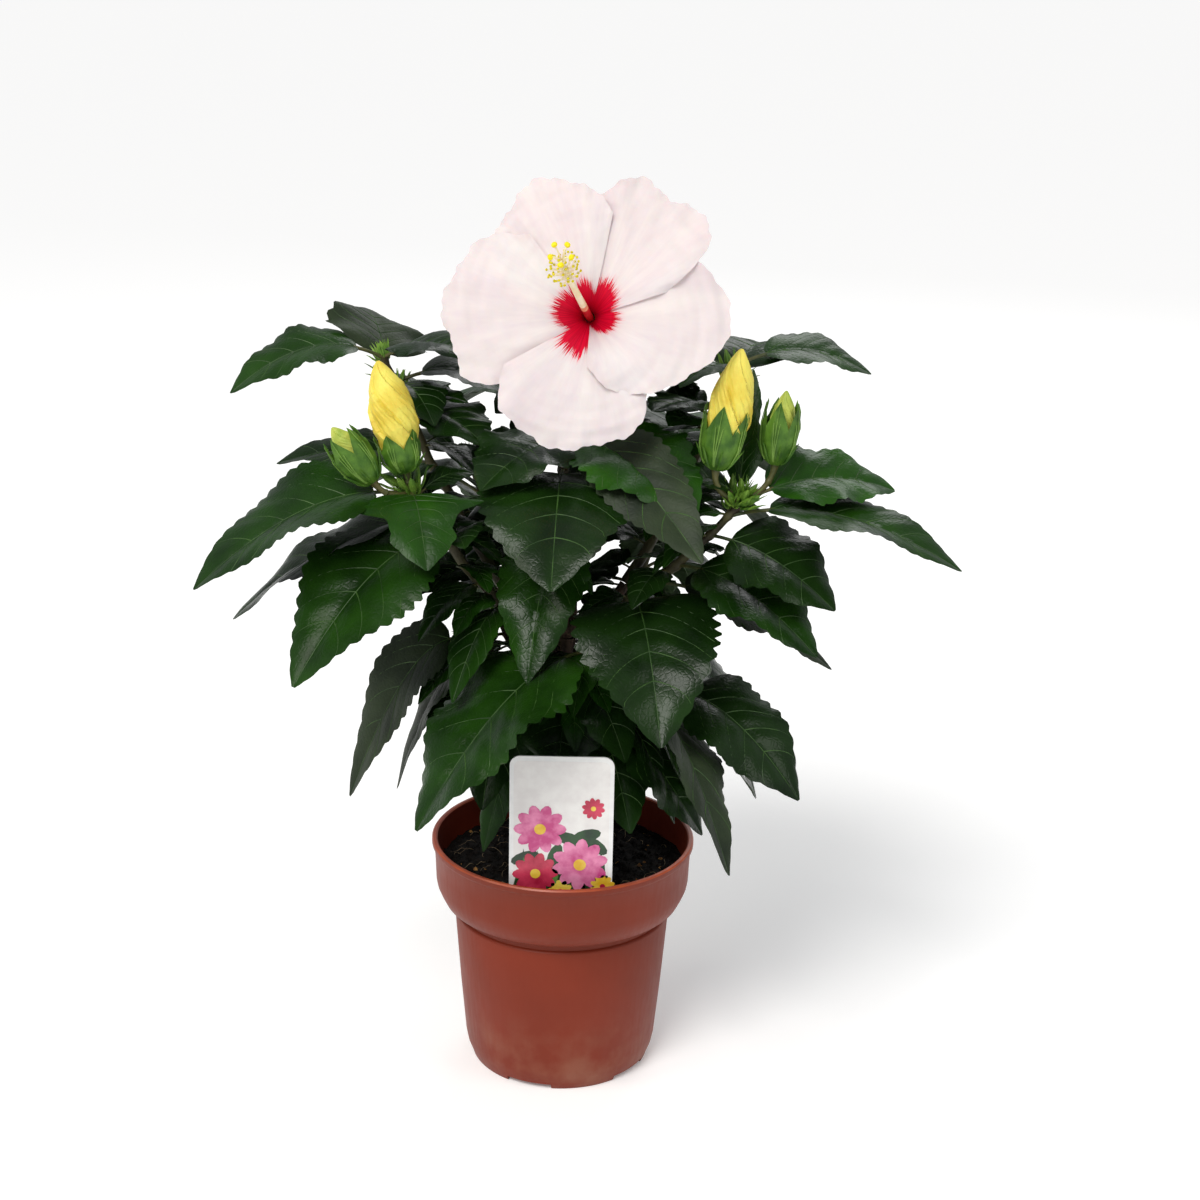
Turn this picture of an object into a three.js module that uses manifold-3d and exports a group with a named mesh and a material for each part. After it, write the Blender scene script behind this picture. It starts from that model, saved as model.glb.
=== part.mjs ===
// A hibiscus shrub in flower, in its plastic nursery pot.
// Millimetres, +Z up. The origin is the middle of the pot's flat underside, and -Y faces the bloom's side.
import * as THREE from "three";
import { mergeVertices } from "three/addons/utils/BufferGeometryUtils.js";
import Module from "manifold-3d";

const wasm = await Module();
wasm.setup();

// Clearance between pieces that touch on the real plant.
const GAP = 0.3;

// The pot: a 13 cm nursery pot with a deep rim band.
const POT_HEIGHT = 118;
const POT_RIM_RADIUS = 65;
const POT_WALL = 1.8;
const POT_FLOOR = 3;
const FOOT_RADIUS = 44.6;
const FOOT_NOTCHES = 5;
const NOTCH_WIDTH = 23;
const NOTCH_HEIGHT = 2.6;
const NOTCH_DEPTH = 12;
const FIRST_NOTCH_BEARING = -19;
const DRAIN_RADIUS = 4.5;
const DRAIN_CIRCLE = 33;
const POT_SEGMENTS = 32;

// The compost fills the pot to a little under the rim.
const COMPOST_TOP = 105;
const COMPOST_EDGE_FALL = 1.5;
const COMPOST_EDGE_RADIUS = 61.1;
const COMPOST_FOOT_RADIUS = 42.4;
const COMPOST_LEVEL_RADIUS = 14;
const COMPOST_WALL_GAP = 0.5;

// The plant tag: a rounded card on a spike, upright inside the front rim.
const TAG_WIDTH = 49;
const TAG_TOP = 181;
const TAG_SHOULDER = 112;
const TAG_SPIKE_BOTTOM = 84;
const TAG_CORNER = 5;
const TAG_SHOULDER_FALL = 4;
const TAG_NECK_FALL = 14;
const TAG_NECK_HALF = 9;
const TAG_SPIKE_HALF = 3;
const TAG_THICKNESS = 1;
const TAG_FORWARD = 52;

// Trunk and branches: the trunk's path and the radius at its foot and fork.
const TRUNK_PATH = [[3, 4, COMPOST_TOP + GAP], [-5, 0, 165], [0, 0, 222]];
const TRUNK_RADIUS = 5.4;
const FORK_RADIUS = 4;
const FLARE_RADIUS = 9;
const FLARE_HEIGHT = 9;
const BOUGH_SHARE = 0.32;
const LIMB_SIDES = 7;
const STEM_SIDES = 5;
const STEM_TIP_RADIUS = 1.5;

// Leaves.
const PETIOLE_SHARE = 0.18;
const PETIOLE_RADIUS = 1;
const BLADE_STATIONS = [0.03, 0.14, 0.29, 0.44, 0.58, 0.72, 0.86, 1];
const BLADE_SHOULDER = 0.55;
const BLADE_POINT = 0.9;
const BLADE_THICKNESS = 1.25;
const BLADE_FOLD = 0.16;
const TOOTH_DEPTH = 0.07;
const ARCH = 0.2;
const GOLDEN_ANGLE = 137.5;

// The rule that sets the leaves the viewer doesn't see one by one: ranges for spread, drop and slenderness,
// how far drop and roll vary, and the oval, seen from the front, that their tips stay in.
const RULE_SPREAD = [58, 92];
const RULE_DROP = [58, 4];
const RULE_DROP_VARIES = 12;
const RULE_SLENDERNESS = [0.5, 0.62];
const RULE_ROLL = 12;
const RULE_OVAL_HEIGHT = 250;
const RULE_OVAL_HALF = [118, 112];
const RULE_STEM_FROM = 0.4;
const SAMPLE_ROWS = 8;
const SAMPLE_COLUMNS = 3;
const LEAF_CLEARANCE = 6;
const LIMB_CLEARANCE = 8;
const BACK_LEAVES_FROM = 5;
const TRIES = 90;
const LEAF_SEED = 41;

// Every branch grows from the trunk on one curve: fork, knee and tip, in millimetres.
// Its leaves are [place along the stem, heading, spread, drop, width, roll, arch]: the heading is the
// compass turn of the tip from the viewer's side towards the right, spread and drop are how far out
// and down the tip lies from its node. extra is how many more leaves the spiral rule may add.
const BRANCHES = [
  {
    name: "left",
    bough: true,
    path: [[0, 0, 210], [-45, -12, 250], [-74, -24, 302]],
    radius: 3.6,
    extra: 4,
    leaves: [
      [0.96, -74, 102, 40, 62, -12, 0.14],
      [0.84, -100, 98, 58, 48, -8, 0.1],
      [0.74, -46, 88, 54, 66, -14, 0.16],
      [0.97, 14, 46, 24, 46, 0, 0.16],
    ],
  },
  {
    name: "left_back",
    bough: true,
    path: [[0, 0, 203], [-50, 18, 260], [-90, 32, 350]],
    radius: 3.4,
    extra: 6,
    leaves: [
      [1.0, -72, 74, 14, 42, -10, 0.18],
      [0.96, -162, 50, -22, 54, 20, 0.1],
      [0.86, 48, 54, 8, 46, 0, 0.12],
      [1.0, 62, 54, -6, 52, 0, 0.14],
      [0.7, -95, 78, 2, 34, -10, 0.1],
    ],
  },
  {
    name: "leader",
    bough: true,
    path: [[0, 0, 222], [-12, 2, 285], [6, 8, 345]],
    radius: 3.8,
    extra: 5,
    leaves: [
      [0.66, -2, 84, 34, 74, 0, 0.14],
      [0.84, 38, 98, 44, 40, 30, 0.07],
      [0.79, 50, 78, 22, 62, 8, 0.1],
      [0.36, -12, 58, 50, 44, 0, 0.22],
      [0.76, -42, 58, 12, 50, -6, 0.12],
      [0.5, -82, 50, 14, 46, -6, 0.14],
      [0.55, 78, 52, 14, 48, 8, 0.12],
    ],
  },
  {
    name: "right",
    bough: true,
    path: [[0, 0, 225], [40, -10, 245], [84, -14, 298]],
    radius: 3.6,
    extra: 4,
    leaves: [
      [0.97, 104, 76, -2, 50, 14, 0.12],
      [0.9, 78, 110, 18, 48, 6, 0.12],
      [0.8, 66, 64, 28, 56, 18, 0.1],
      [0.62, 60, 76, 32, 54, 12, 0.12],
      [0.5, 92, 88, 44, 44, 14, 0.1],
      [0.38, 10, 80, 46, 68, 6, 0.18],
      [0.94, 166, 31, -60, 18, 0, 0],
    ],
  },
  {
    name: "right_back",
    bough: true,
    path: [[0, 0, 206], [45, 22, 262], [82, 38, 350]],
    radius: 3.4,
    extra: 6,
    leaves: [
      [1.0, 96, 64, 6, 40, 8, 0.14],
      [0.94, 160, 54, -10, 50, 0, 0.14],
      [0.86, -38, 54, -10, 36, 0, 0.1],
    ],
  },
  {
    name: "back",
    bough: true,
    path: [[0, 0, 198], [6, 45, 250], [-4, 76, 325]],
    radius: 3.4,
    extra: 8,
    leaves: [
      [0.5, -80, 66, 20, 34, -6, 0.16],
      [0.62, 94, 70, 12, 50, 6, 0.16],
      [0.75, -60, 56, -10, 46, 0, 0.16],
      [0.8, 52, 60, -8, 48, 0, 0.16],
    ],
  },
  {
    name: "back_left",
    bough: true,
    path: [[0, 0, 190], [-26, 38, 232], [-52, 84, 288]],
    radius: 3.2,
    extra: 8,
    leaves: [],
  },
  {
    name: "back_right",
    bough: true,
    path: [[0, 0, 186], [32, 36, 228], [58, 84, 282]],
    radius: 3.2,
    extra: 8,
    leaves: [],
  },
  {
    name: "low_front",
    bough: false,
    path: [[0, 0, 196], [4, -14, 210], [14, -27, 226]],
    radius: 2.4,
    extra: 0,
    leaves: [
      [0.95, -52, 100, 68, 80, 4, 0.16],
      [0.4, 40, 40, 34, 42, 0, 0.2],
      [0.25, -8, 34, 38, 52, 0, 0.12],
    ],
  },
  {
    name: "low_left",
    bough: false,
    path: [[0, 0, 188], [-20, -2, 205], [-45, -6, 220]],
    radius: 2.4,
    extra: 3,
    leaves: [
      [1.0, -84, 60, 80, 44, -24, 0.26],
      [0.84, -96, 46, 76, 38, -20, 0.24],
      [0.6, -70, 44, 40, 40, -10, 0.18],
    ],
  },
  {
    name: "low_right",
    bough: false,
    path: [[0, 0, 174], [22, -8, 190], [48, -20, 203]],
    radius: 2.4,
    extra: 3,
    leaves: [
      [1.0, 66, 70, 44, 56, 10, 0.16],
      [0.8, 26, 90, 56, 40, -30, 0.16],
      [0.7, 98, 62, 52, 44, 0, 0.16],
      [0.5, 64, 50, 57, 50, 0, 0.04],
      [0.35, 26, 39, 48, 38, 0, 0.1],
    ],
  },
  {
    name: "low_back_left",
    bough: false,
    path: [[0, 0, 168], [-18, 16, 190], [-34, 44, 214]],
    radius: 2.4,
    extra: 6,
    leaves: [
      [0.9, -62, 48, 46, 46, 0, 0.2],
      [0.6, -32, 50, 42, 44, 0, 0.18],
      [0.75, -12, 62, 60, 48, 0, 0.14],
    ],
  },
  {
    name: "low_back_right",
    bough: false,
    path: [[0, 0, 180], [20, 16, 196], [42, 46, 220]],
    radius: 2.4,
    extra: 6,
    leaves: [
      [0.95, 76, 60, 92, 56, 0, 0.2],
      [0.7, 0, 33, 38, 30, 0, 0.2],
    ],
  },
];

// The open bloom: the branch that carries it, where its throat is and how it faces. Each petal has the turn of
// its middle, half the angle it spans, and how far its margin reaches at seven even places, clockwise edge first.
const BLOOM_BRANCH = "leader";
const THROAT = [10, -32, 384];
const BLOOM_ELEVATION = 17;
const BLOOM_THROAT_RADIUS = 4;
const BLOOM_FUNNEL_DEPTH = 22;
const FUNNEL_FLARE = 9;
const PETAL_ROLL_BACK = 0.0016;
const PETAL_RUFFLE = 1.6;
const PETAL_THICKNESS = 0.9;
const PETAL_PINWHEEL = 0.2;
const PETAL_CLAW_WIDTH = 0.44;
const PETAL_CLAW_SHARE = 0.45;
const PETAL_STATIONS = 7;
const PETAL_COLUMNS = 8;
const PETALS = [
  { turn: 119, spread: 39, margin: [49, 61, 66, 69, 62, 56, 44] },
  { turn: 59, spread: 39, margin: [36, 64, 69, 67, 68, 60, 44] },
  { turn: -32, spread: 64, margin: [22, 35, 42, 52, 61, 64, 54] },
  { turn: -98, spread: 53, margin: [46, 60, 62, 61, 58, 52, 38] },
  { turn: 175, spread: 47, margin: [49, 61, 67, 69, 67, 64, 46] },
];
const COLUMN_LENGTH = 46;
const COLUMN_RADIUS = 1.6;
const ANTHER_ZONE_RADIUS = 7;
const BLOOM_CALYX_LENGTH = 18;
const BLOOM_CALYX_RADIUS = 8.5;
const BLOOM_CALYX_DEPTH = 16;
const COLUMN_SEAT = 7;
const CALYX_SIDES = 10;
const CALYX_NOTCH = 0.62;
const BLOOM_CALYX_FLARE = 1.05;
const BUD_CALYX_FLARE = 1.12;
const BUD_COROLLA_START = 5;
const FLOWER_STALK_RADIUS = 1.3;
const SHOOT_TIP_LENGTH = 14;

// The buds: foot of the calyx, tip of the bud, widest radius of corolla and calyx, calyx length.
const BUDS = [
  {
    name: "bud_left_yellow",
    branch: "left",
    foot: [-74, -27, 309],
    tip: [-87, -22, 360],
    corolla: 10.6,
    calyx: 8.8,
    sleeve: 20,
  },
  {
    name: "bud_left_green",
    branch: "left",
    foot: [-88, -34, 306],
    tip: [-107, -32, 331],
    corolla: 6.4,
    calyx: 8.4,
    sleeve: 23,
  },
  {
    name: "bud_right_yellow",
    branch: "right",
    foot: [68, -22, 312],
    tip: [78, -17, 368],
    corolla: 10,
    calyx: 9.4,
    sleeve: 24,
  },
  {
    name: "bud_right_small",
    branch: "right",
    foot: [96, -10, 312],
    tip: [100, -8, 347],
    corolla: 6,
    calyx: 8.2,
    sleeve: 25,
  },
];

const rad = THREE.MathUtils.degToRad;
const lerp = THREE.MathUtils.lerp;

function vec(point) {
  return new THREE.Vector3(...point);
}

// A compass bearing: 0 points at the viewer (-Y) and 90 to the right (+X).
function bearing(degrees, length = 1) {
  return new THREE.Vector3(Math.sin(rad(degrees)) * length, -Math.cos(rad(degrees)) * length, 0);
}

// A seeded row of numbers from 0 to 1, the same on every run.
function seeded(seed) {
  let state = seed;
  return () => {
    state = (state * 1664525 + 1013904223) % 4294967296;
    return state / 4294967296;
  };
}

// A point and direction on a three-point curve.
function curveAt([a, b, c], t) {
  const s = 1 - t;
  return vec(a).multiplyScalar(s * s).addScaledVector(vec(b), 2 * s * t).addScaledVector(vec(c), t * t);
}

function curveDirection([a, b, c], t) {
  const start = vec(b).sub(vec(a)).multiplyScalar(1 - t);
  return start.addScaledVector(vec(c).sub(vec(b)), t).normalize();
}

// A closed skin over rings of points, each ring seen anticlockwise from the far end.
function loft(rings) {
  const count = rings[0].length;
  const points = rings.flat();
  const faces = [];
  for (let ring = 0; ring < rings.length - 1; ring++) {
    for (let side = 0; side < count; side++) {
      const next = (side + 1) % count;
      const a = ring * count + side;
      const b = ring * count + next;
      faces.push([a, b, b + count], [a, b + count, a + count]);
    }
  }
  const last = (rings.length - 1) * count;
  for (let side = 1; side < count - 1; side++) {
    faces.push([0, side + 1, side], [last, last + side, last + side + 1]);
  }
  const geometry = new THREE.BufferGeometry();
  geometry.setAttribute("position", new THREE.Float32BufferAttribute(points.flatMap((p) => p.toArray()), 3));
  geometry.setIndex(faces.flat());
  return geometry;
}

// Two directions across a line, square to it and to each other.
function across(direction) {
  const helper = Math.abs(direction.z) > 0.9 ? new THREE.Vector3(0, -1, 0) : new THREE.Vector3(0, 0, 1);
  const side = new THREE.Vector3().crossVectors(direction, helper).normalize();
  const other = new THREE.Vector3().crossVectors(direction, side).normalize();
  return [side, other];
}

function ringAt(centre, direction, radius, sides) {
  const [side, other] = across(direction);
  return Array.from({ length: sides }, (_, i) => {
    const angle = (i / sides) * 2 * Math.PI;
    return centre.clone()
      .addScaledVector(side, Math.cos(angle) * radius)
      .addScaledVector(other, Math.sin(angle) * radius);
  });
}

// A tapering limb along a three-point curve between two places on it.
function limb(path, from, to, radiusAt, sides, steps) {
  const rings = [];
  for (let i = 0; i <= steps; i++) {
    const t = lerp(from, to, i / steps);
    rings.push(ringAt(curveAt(path, t), curveDirection(path, t), radiusAt(t), sides));
  }
  return loft(rings);
}

// A closed geometry as a solid that can be cut and joined.
function solid(geometry) {
  const bare = geometry.clone();
  bare.deleteAttribute("normal");
  bare.deleteAttribute("uv");
  const merged = mergeVertices(bare, 1e-4);
  const corners = merged.index.array;
  const faces = [];
  for (let i = 0; i < corners.length; i += 3) {
    const [a, b, c] = [corners[i], corners[i + 1], corners[i + 2]];
    if (a !== b && b !== c && c !== a) faces.push(a, b, c);
  }
  return new wasm.Manifold(new wasm.Mesh({
    numProp: 3,
    vertProperties: new Float32Array(merged.attributes.position.array),
    triVerts: new Uint32Array(faces),
  }));
}

function geometryOf(body) {
  const { vertProperties, triVerts, numProp } = body.getMesh();
  const geometry = new THREE.BufferGeometry();
  const places = new Float32Array((vertProperties.length / numProp) * 3);
  for (let i = 0; i < places.length; i++) {
    places[i] = vertProperties[Math.floor(i / 3) * numProp + (i % 3)];
  }
  geometry.setAttribute("position", new THREE.BufferAttribute(places, 3));
  geometry.setIndex(new THREE.BufferAttribute(new Uint32Array(triVerts), 1));
  geometry.computeVertexNormals();
  return geometry;
}

function largest(body) {
  return body.decompose().reduce((best, piece) => (piece.volume() > best.volume() ? piece : best));
}

function joined(bodies) {
  return bodies.reduce((whole, body) => whole.add(body));
}

const FINISHES = {
  terracotta_plastic: { color: 0x8a452f, roughness: 0.5 },
  peat: { color: 0x1d1612, roughness: 1 },
  card_plastic: { color: 0xe9eef2, roughness: 0.35 },
  bark: { color: 0x4a3626, roughness: 0.85 },
  leaf: { color: 0x1c4216, roughness: 0.4 },
  petal: { color: 0xf6ebe8, roughness: 0.6 },
  column: { color: 0xf2dc6a, roughness: 0.6 },
  calyx: { color: 0x4f7a22, roughness: 0.6 },
  yellow_bud: { color: 0xf0d93a, roughness: 0.55 },
};

function part(name, geometry, finish) {
  const mesh = new THREE.Mesh(geometry, new THREE.MeshStandardMaterial({ ...FINISHES[finish], metalness: 0 }));
  mesh.name = name;
  return mesh;
}

function lathe(profile) {
  const points = profile.map(([radius, height]) => new THREE.Vector2(radius, height));
  return new THREE.LatheGeometry(points, POT_SEGMENTS).rotateX(Math.PI / 2);
}

// The pot's outside, from the foot up to the rim: body, groove, band and rolled lip.
const POT_OUTSIDE = [
  [FOOT_RADIUS, 0], [47.4, 9], [53.6, 76], [54.4, 79], [58.2, 82], [62.6, 92],
  [63.8, 114.5], [POT_RIM_RADIUS, 115.4], [POT_RIM_RADIUS, POT_HEIGHT],
];
const POT_INSIDE = [
  [POT_RIM_RADIUS - 2.8, POT_HEIGHT], [60.8, 92], [55.6, 82], [51.8, 76], [45.4, 10], [43.5, POT_FLOOR + POT_WALL],
];
const FOOT_INNER = 42;
const PAD_RADIUS = 18;

function makePot() {
  const hollow = [[PAD_RADIUS + 1.5, POT_FLOOR], [FOOT_INNER - 0.6, POT_FLOOR]];
  const underside = [[0, 0], [PAD_RADIUS, 0], ...hollow, [FOOT_INNER, 0]];
  const inside = [...POT_INSIDE, [0, POT_FLOOR + POT_WALL]];
  let pot = solid(lathe([...underside, ...POT_OUTSIDE, ...inside]));
  for (let notch = 0; notch < FOOT_NOTCHES; notch++) {
    const turn = FIRST_NOTCH_BEARING + (notch * 360) / FOOT_NOTCHES;
    const mouth = new THREE.BoxGeometry(NOTCH_WIDTH, NOTCH_DEPTH, NOTCH_HEIGHT * 2);
    mouth.translate(0, -FOOT_RADIUS, 0).rotateZ(rad(turn));
    const drain = new THREE.CylinderGeometry(DRAIN_RADIUS, DRAIN_RADIUS, 4 * POT_FLOOR, 12);
    drain.rotateX(Math.PI / 2).translate(0, -DRAIN_CIRCLE, 0).rotateZ(rad(turn));
    pot = pot.subtract(solid(mouth)).subtract(solid(drain));
  }
  return part("pot", geometryOf(pot), "terracotta_plastic");
}

// The tag's outline: rounded shoulders above, a tapering spike below.
function tagGeometry(grow) {
  const half = TAG_WIDTH / 2 + grow;
  const top = TAG_TOP + grow;
  const outline = new THREE.Shape();
  const spike = TAG_SPIKE_HALF + grow;
  const neck = TAG_NECK_HALF + grow;
  outline.moveTo(-spike, TAG_SPIKE_BOTTOM - grow);
  outline.lineTo(spike, TAG_SPIKE_BOTTOM - grow);
  outline.lineTo(neck, TAG_SHOULDER - TAG_NECK_FALL);
  outline.lineTo(half, TAG_SHOULDER - TAG_SHOULDER_FALL);
  outline.lineTo(half, top - TAG_CORNER);
  outline.quadraticCurveTo(half, top, half - TAG_CORNER, top);
  outline.lineTo(TAG_CORNER - half, top);
  outline.quadraticCurveTo(-half, top, -half, top - TAG_CORNER);
  outline.lineTo(-half, TAG_SHOULDER - TAG_SHOULDER_FALL);
  outline.lineTo(-neck, TAG_SHOULDER - TAG_NECK_FALL);
  const depth = TAG_THICKNESS + 2 * grow;
  const card = new THREE.ExtrudeGeometry(outline, { depth, bevelEnabled: false, curveSegments: 4 });
  return card.translate(0, 0, -depth / 2).rotateX(Math.PI / 2).translate(0, -TAG_FORWARD, 0);
}

function makeCompost() {
  const bottom = POT_FLOOR + POT_WALL + GAP;
  const wall = POT_INSIDE.filter(([, height]) => height > bottom + 1 && height < COMPOST_TOP - 4);
  const sides = wall.reverse().map(([radius, height]) => [radius - COMPOST_WALL_GAP, height]);
  const edge = [COMPOST_EDGE_RADIUS, COMPOST_TOP - COMPOST_EDGE_FALL];
  const level = [[COMPOST_LEVEL_RADIUS, COMPOST_TOP], [0, COMPOST_TOP]];
  const profile = [[0, bottom], [COMPOST_FOOT_RADIUS, bottom], ...sides, edge, ...level];
  const slot = solid(tagGeometry(GAP));
  return part("compost", geometryOf(solid(lathe(profile)).subtract(slot)), "peat");
}

// The trunk swells into a root flare over its lowest few millimetres.
function trunkRadius(t, grow = 0) {
  const height = curveAt(TRUNK_PATH, t).z - TRUNK_PATH[0][2];
  const flare = (FLARE_RADIUS - TRUNK_RADIUS) * Math.exp(-height / (FLARE_HEIGHT / 2));
  return lerp(TRUNK_RADIUS, FORK_RADIUS, t) + flare + grow;
}

// The trunk starts upright, so that its foot is a level flat cut.
function trunkSolid(grow) {
  const top = 1 + grow / curveLength(TRUNK_PATH);
  const rings = [0, 0.03, 0.07, 0.13, 0.3, 0.5, 0.7, 0.86, top].map((t) => {
    const direction = t === 0 ? new THREE.Vector3(0, 0, 1) : curveDirection(TRUNK_PATH, t);
    return ringAt(curveAt(TRUNK_PATH, t), direction, trunkRadius(t, grow), LIMB_SIDES + 2);
  });
  return solid(loft(rings));
}

function branchRadius(branch, t, grow = 0) {
  return lerp(branch.radius, STEM_TIP_RADIUS, t) + grow;
}

function curveLength(path) {
  return vec(path[0]).distanceTo(vec(path[1])) + vec(path[1]).distanceTo(vec(path[2]));
}

// Where a mass's stem starts: a gap past its bough's end, or in the trunk.
function stemStart(branch) {
  return branch.bough ? BOUGH_SHARE + (1.2 * GAP) / curveLength(branch.path) : 0;
}

// Half width of a leaf blade along its length: full near the base, drawn out to a point, toothed.
function bladeHalfWidth(share, station, width) {
  const tooth = station > 1 && station % 2 === 0 ? -TOOTH_DEPTH : TOOTH_DEPTH;
  return (width / 2) * (bladeOutline(share) / BLADE_WIDEST) * (1 + tooth);
}

// The outline rises from the base as one power of the share and falls to the point as another.
function bladeOutline(share) {
  return Math.pow(share, BLADE_SHOULDER) * Math.pow(1 - share, BLADE_POINT);
}

const BLADE_WIDEST = bladeOutline(BLADE_SHOULDER / (BLADE_SHOULDER + BLADE_POINT));

// Where a leaf goes: its curve from the node on the stem to its tip, with the arch lifting the middle.
function leafPath(branch, [place, heading, spread, drop, , , arch = ARCH]) {
  const node = curveAt(branch.path, place);
  const tip = node.clone().add(bearing(heading, spread));
  tip.z -= drop;
  const middle = node.clone().lerp(tip, 0.45);
  middle.z += node.distanceTo(tip) * arch * 2;
  return [node.toArray(), middle.toArray(), tip.toArray()];
}

// The blade's own directions at a place on its curve: along, across and up out of its face.
function bladeFrame(path, t, roll) {
  const along = curveDirection(path, t);
  const chord = vec(path[2]).sub(vec(path[0])).setZ(0).normalize();
  const flat = new THREE.Vector3(-chord.y, chord.x, 0);
  const up = new THREE.Vector3().crossVectors(along, flat).normalize();
  const side = new THREE.Vector3().crossVectors(up, along).normalize();
  side.applyAxisAngle(along, rad(roll));
  up.applyAxisAngle(along, rad(roll));
  return { along, side, up };
}

// A leaf in one skin: each ring is left edge, underside, right edge and top, on a stalk then on a blade.
function leafSolid(branch, leaf) {
  const path = leafPath(branch, leaf);
  const [, , , , width, roll = 0] = leaf;
  const ring = (t, half, lift, thick) => {
    const { side, up } = bladeFrame(path, t, roll);
    const centre = curveAt(path, t);
    return [
      centre.clone().addScaledVector(side, -half).addScaledVector(up, lift),
      centre.clone().addScaledVector(up, -thick),
      centre.clone().addScaledVector(side, half).addScaledVector(up, lift),
      centre.clone().addScaledVector(up, half === PETIOLE_RADIUS ? PETIOLE_RADIUS : 0),
    ];
  };
  const rings = [0, PETIOLE_SHARE].map((t) => ring(t, PETIOLE_RADIUS, 0, PETIOLE_RADIUS));
  BLADE_STATIONS.forEach((share, station) => {
    const half = bladeHalfWidth(share, station, width);
    const thick = share === 1 ? 0 : BLADE_THICKNESS * (1 - share * 0.4);
    rings.push(ring(lerp(PETIOLE_SHARE, 1, share), half, half * BLADE_FOLD, thick));
  });
  return solid(loft(rings));
}

// Points spread over a leaf's blade and petiole, for keeping leaves apart.
function leafSamples(path, width, roll) {
  const samples = limbSamples(path, 0.04, 0.12, PETIOLE_SHARE);
  for (let row = 0; row <= SAMPLE_ROWS; row++) {
    const share = lerp(0.06, 1, row / SAMPLE_ROWS);
    const t = lerp(PETIOLE_SHARE, 1, share);
    const { side } = bladeFrame(path, t, roll);
    const centre = curveAt(path, t);
    const reach = bladeHalfWidth(share, 1, width);
    for (let place = -1; place <= 1; place += 1 / SAMPLE_COLUMNS) {
      samples.push(centre.clone().addScaledVector(side, reach * place));
    }
  }
  return samples;
}

function limbSamples(path, step, from = 0, to = 1) {
  const samples = [];
  for (let t = from; t < to + step / 2; t += step) samples.push(curveAt(path, t));
  return samples;
}

function clear(samples, taken, distance) {
  return samples.every((point) => taken.every((other) => point.distanceTo(other) > distance));
}

// A leaf of the rule ends behind the trunk and inside the crown's oval.
function inRuleSpace([x, y, z]) {
  const [halfWide, halfHigh] = RULE_OVAL_HALF;
  return y > BACK_LEAVES_FROM && Math.hypot(x / halfWide, (z - RULE_OVAL_HEIGHT) / halfHigh) < 1;
}

// The leaves of every branch: first the ones set by hand, then the spiral rule's, which goes up each
// stem by the golden angle and skips a leaf that would touch another leaf, a limb, a bud or the bloom.
function planLeaves() {
  const random = seeded(LEAF_SEED);
  const plan = new Map(BRANCHES.map((branch) => [branch.name, [...branch.leaves]]));
  const leafPoints = [];
  const limbPoints = new Map(BRANCHES.map((branch) => [branch.name, limbSamples(branch.path, 0.03, 0, 1.15)]));
  limbPoints.set("trunk", limbSamples(TRUNK_PATH, 0.03));
  for (const branch of BRANCHES) {
    for (const leaf of branch.leaves) leafPoints.push(...leafSamples(leafPath(branch, leaf), leaf[4], leaf[5]));
  }
  for (const bud of BUDS) limbPoints.set(bud.name, limbSamples([bud.foot, bud.foot, bud.tip], 0.1));
  for (const branch of BRANCHES) {
    const others = [...limbPoints].filter(([name]) => name !== branch.name).flatMap(([, points]) => points);
    let heading = random() * 360;
    let added = 0;
    for (let tries = 0; tries < TRIES && added < branch.extra; tries++) {
      heading += GOLDEN_ANGLE;
      const place = lerp(RULE_STEM_FROM, 1, random());
      const spread = lerp(...RULE_SPREAD, random());
      const drop = lerp(...RULE_DROP, place) + lerp(-RULE_DROP_VARIES, RULE_DROP_VARIES, random());
      const width = spread * lerp(...RULE_SLENDERNESS, random());
      const leaf = [place, heading, spread, drop, width, lerp(-RULE_ROLL, RULE_ROLL, random()), ARCH];
      const path = leafPath(branch, leaf);
      const samples = leafSamples(path, leaf[4], leaf[5]);
      if (!inRuleSpace(path[2]) || !clear(samples, leafPoints, LEAF_CLEARANCE)) continue;
      if (!clear(samples, others, LIMB_CLEARANCE)) continue;
      leafPoints.push(...samples);
      plan.get(branch.name).push(leaf);
      added += 1;
    }
  }
  return plan;
}

// The bloom's frame: local +Z is the way it faces.
function bloomPlacement() {
  const facing = new THREE.Vector3(0, -Math.cos(rad(BLOOM_ELEVATION)), Math.sin(rad(BLOOM_ELEVATION)));
  const right = new THREE.Vector3(1, 0, 0);
  const up = new THREE.Vector3().crossVectors(facing, right).normalize();
  return new THREE.Matrix4().makeBasis(right, up, facing).setPosition(...THROAT);
}

// How far forward the corolla lies at a distance from its axis: a funnel that opens flat and rolls back.
function corollaHeight(distance) {
  const funnel = -BLOOM_FUNNEL_DEPTH * Math.exp(-(distance - BLOOM_THROAT_RADIUS) / FUNNEL_FLARE);
  return funnel - PETAL_ROLL_BACK * distance * distance;
}

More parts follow.
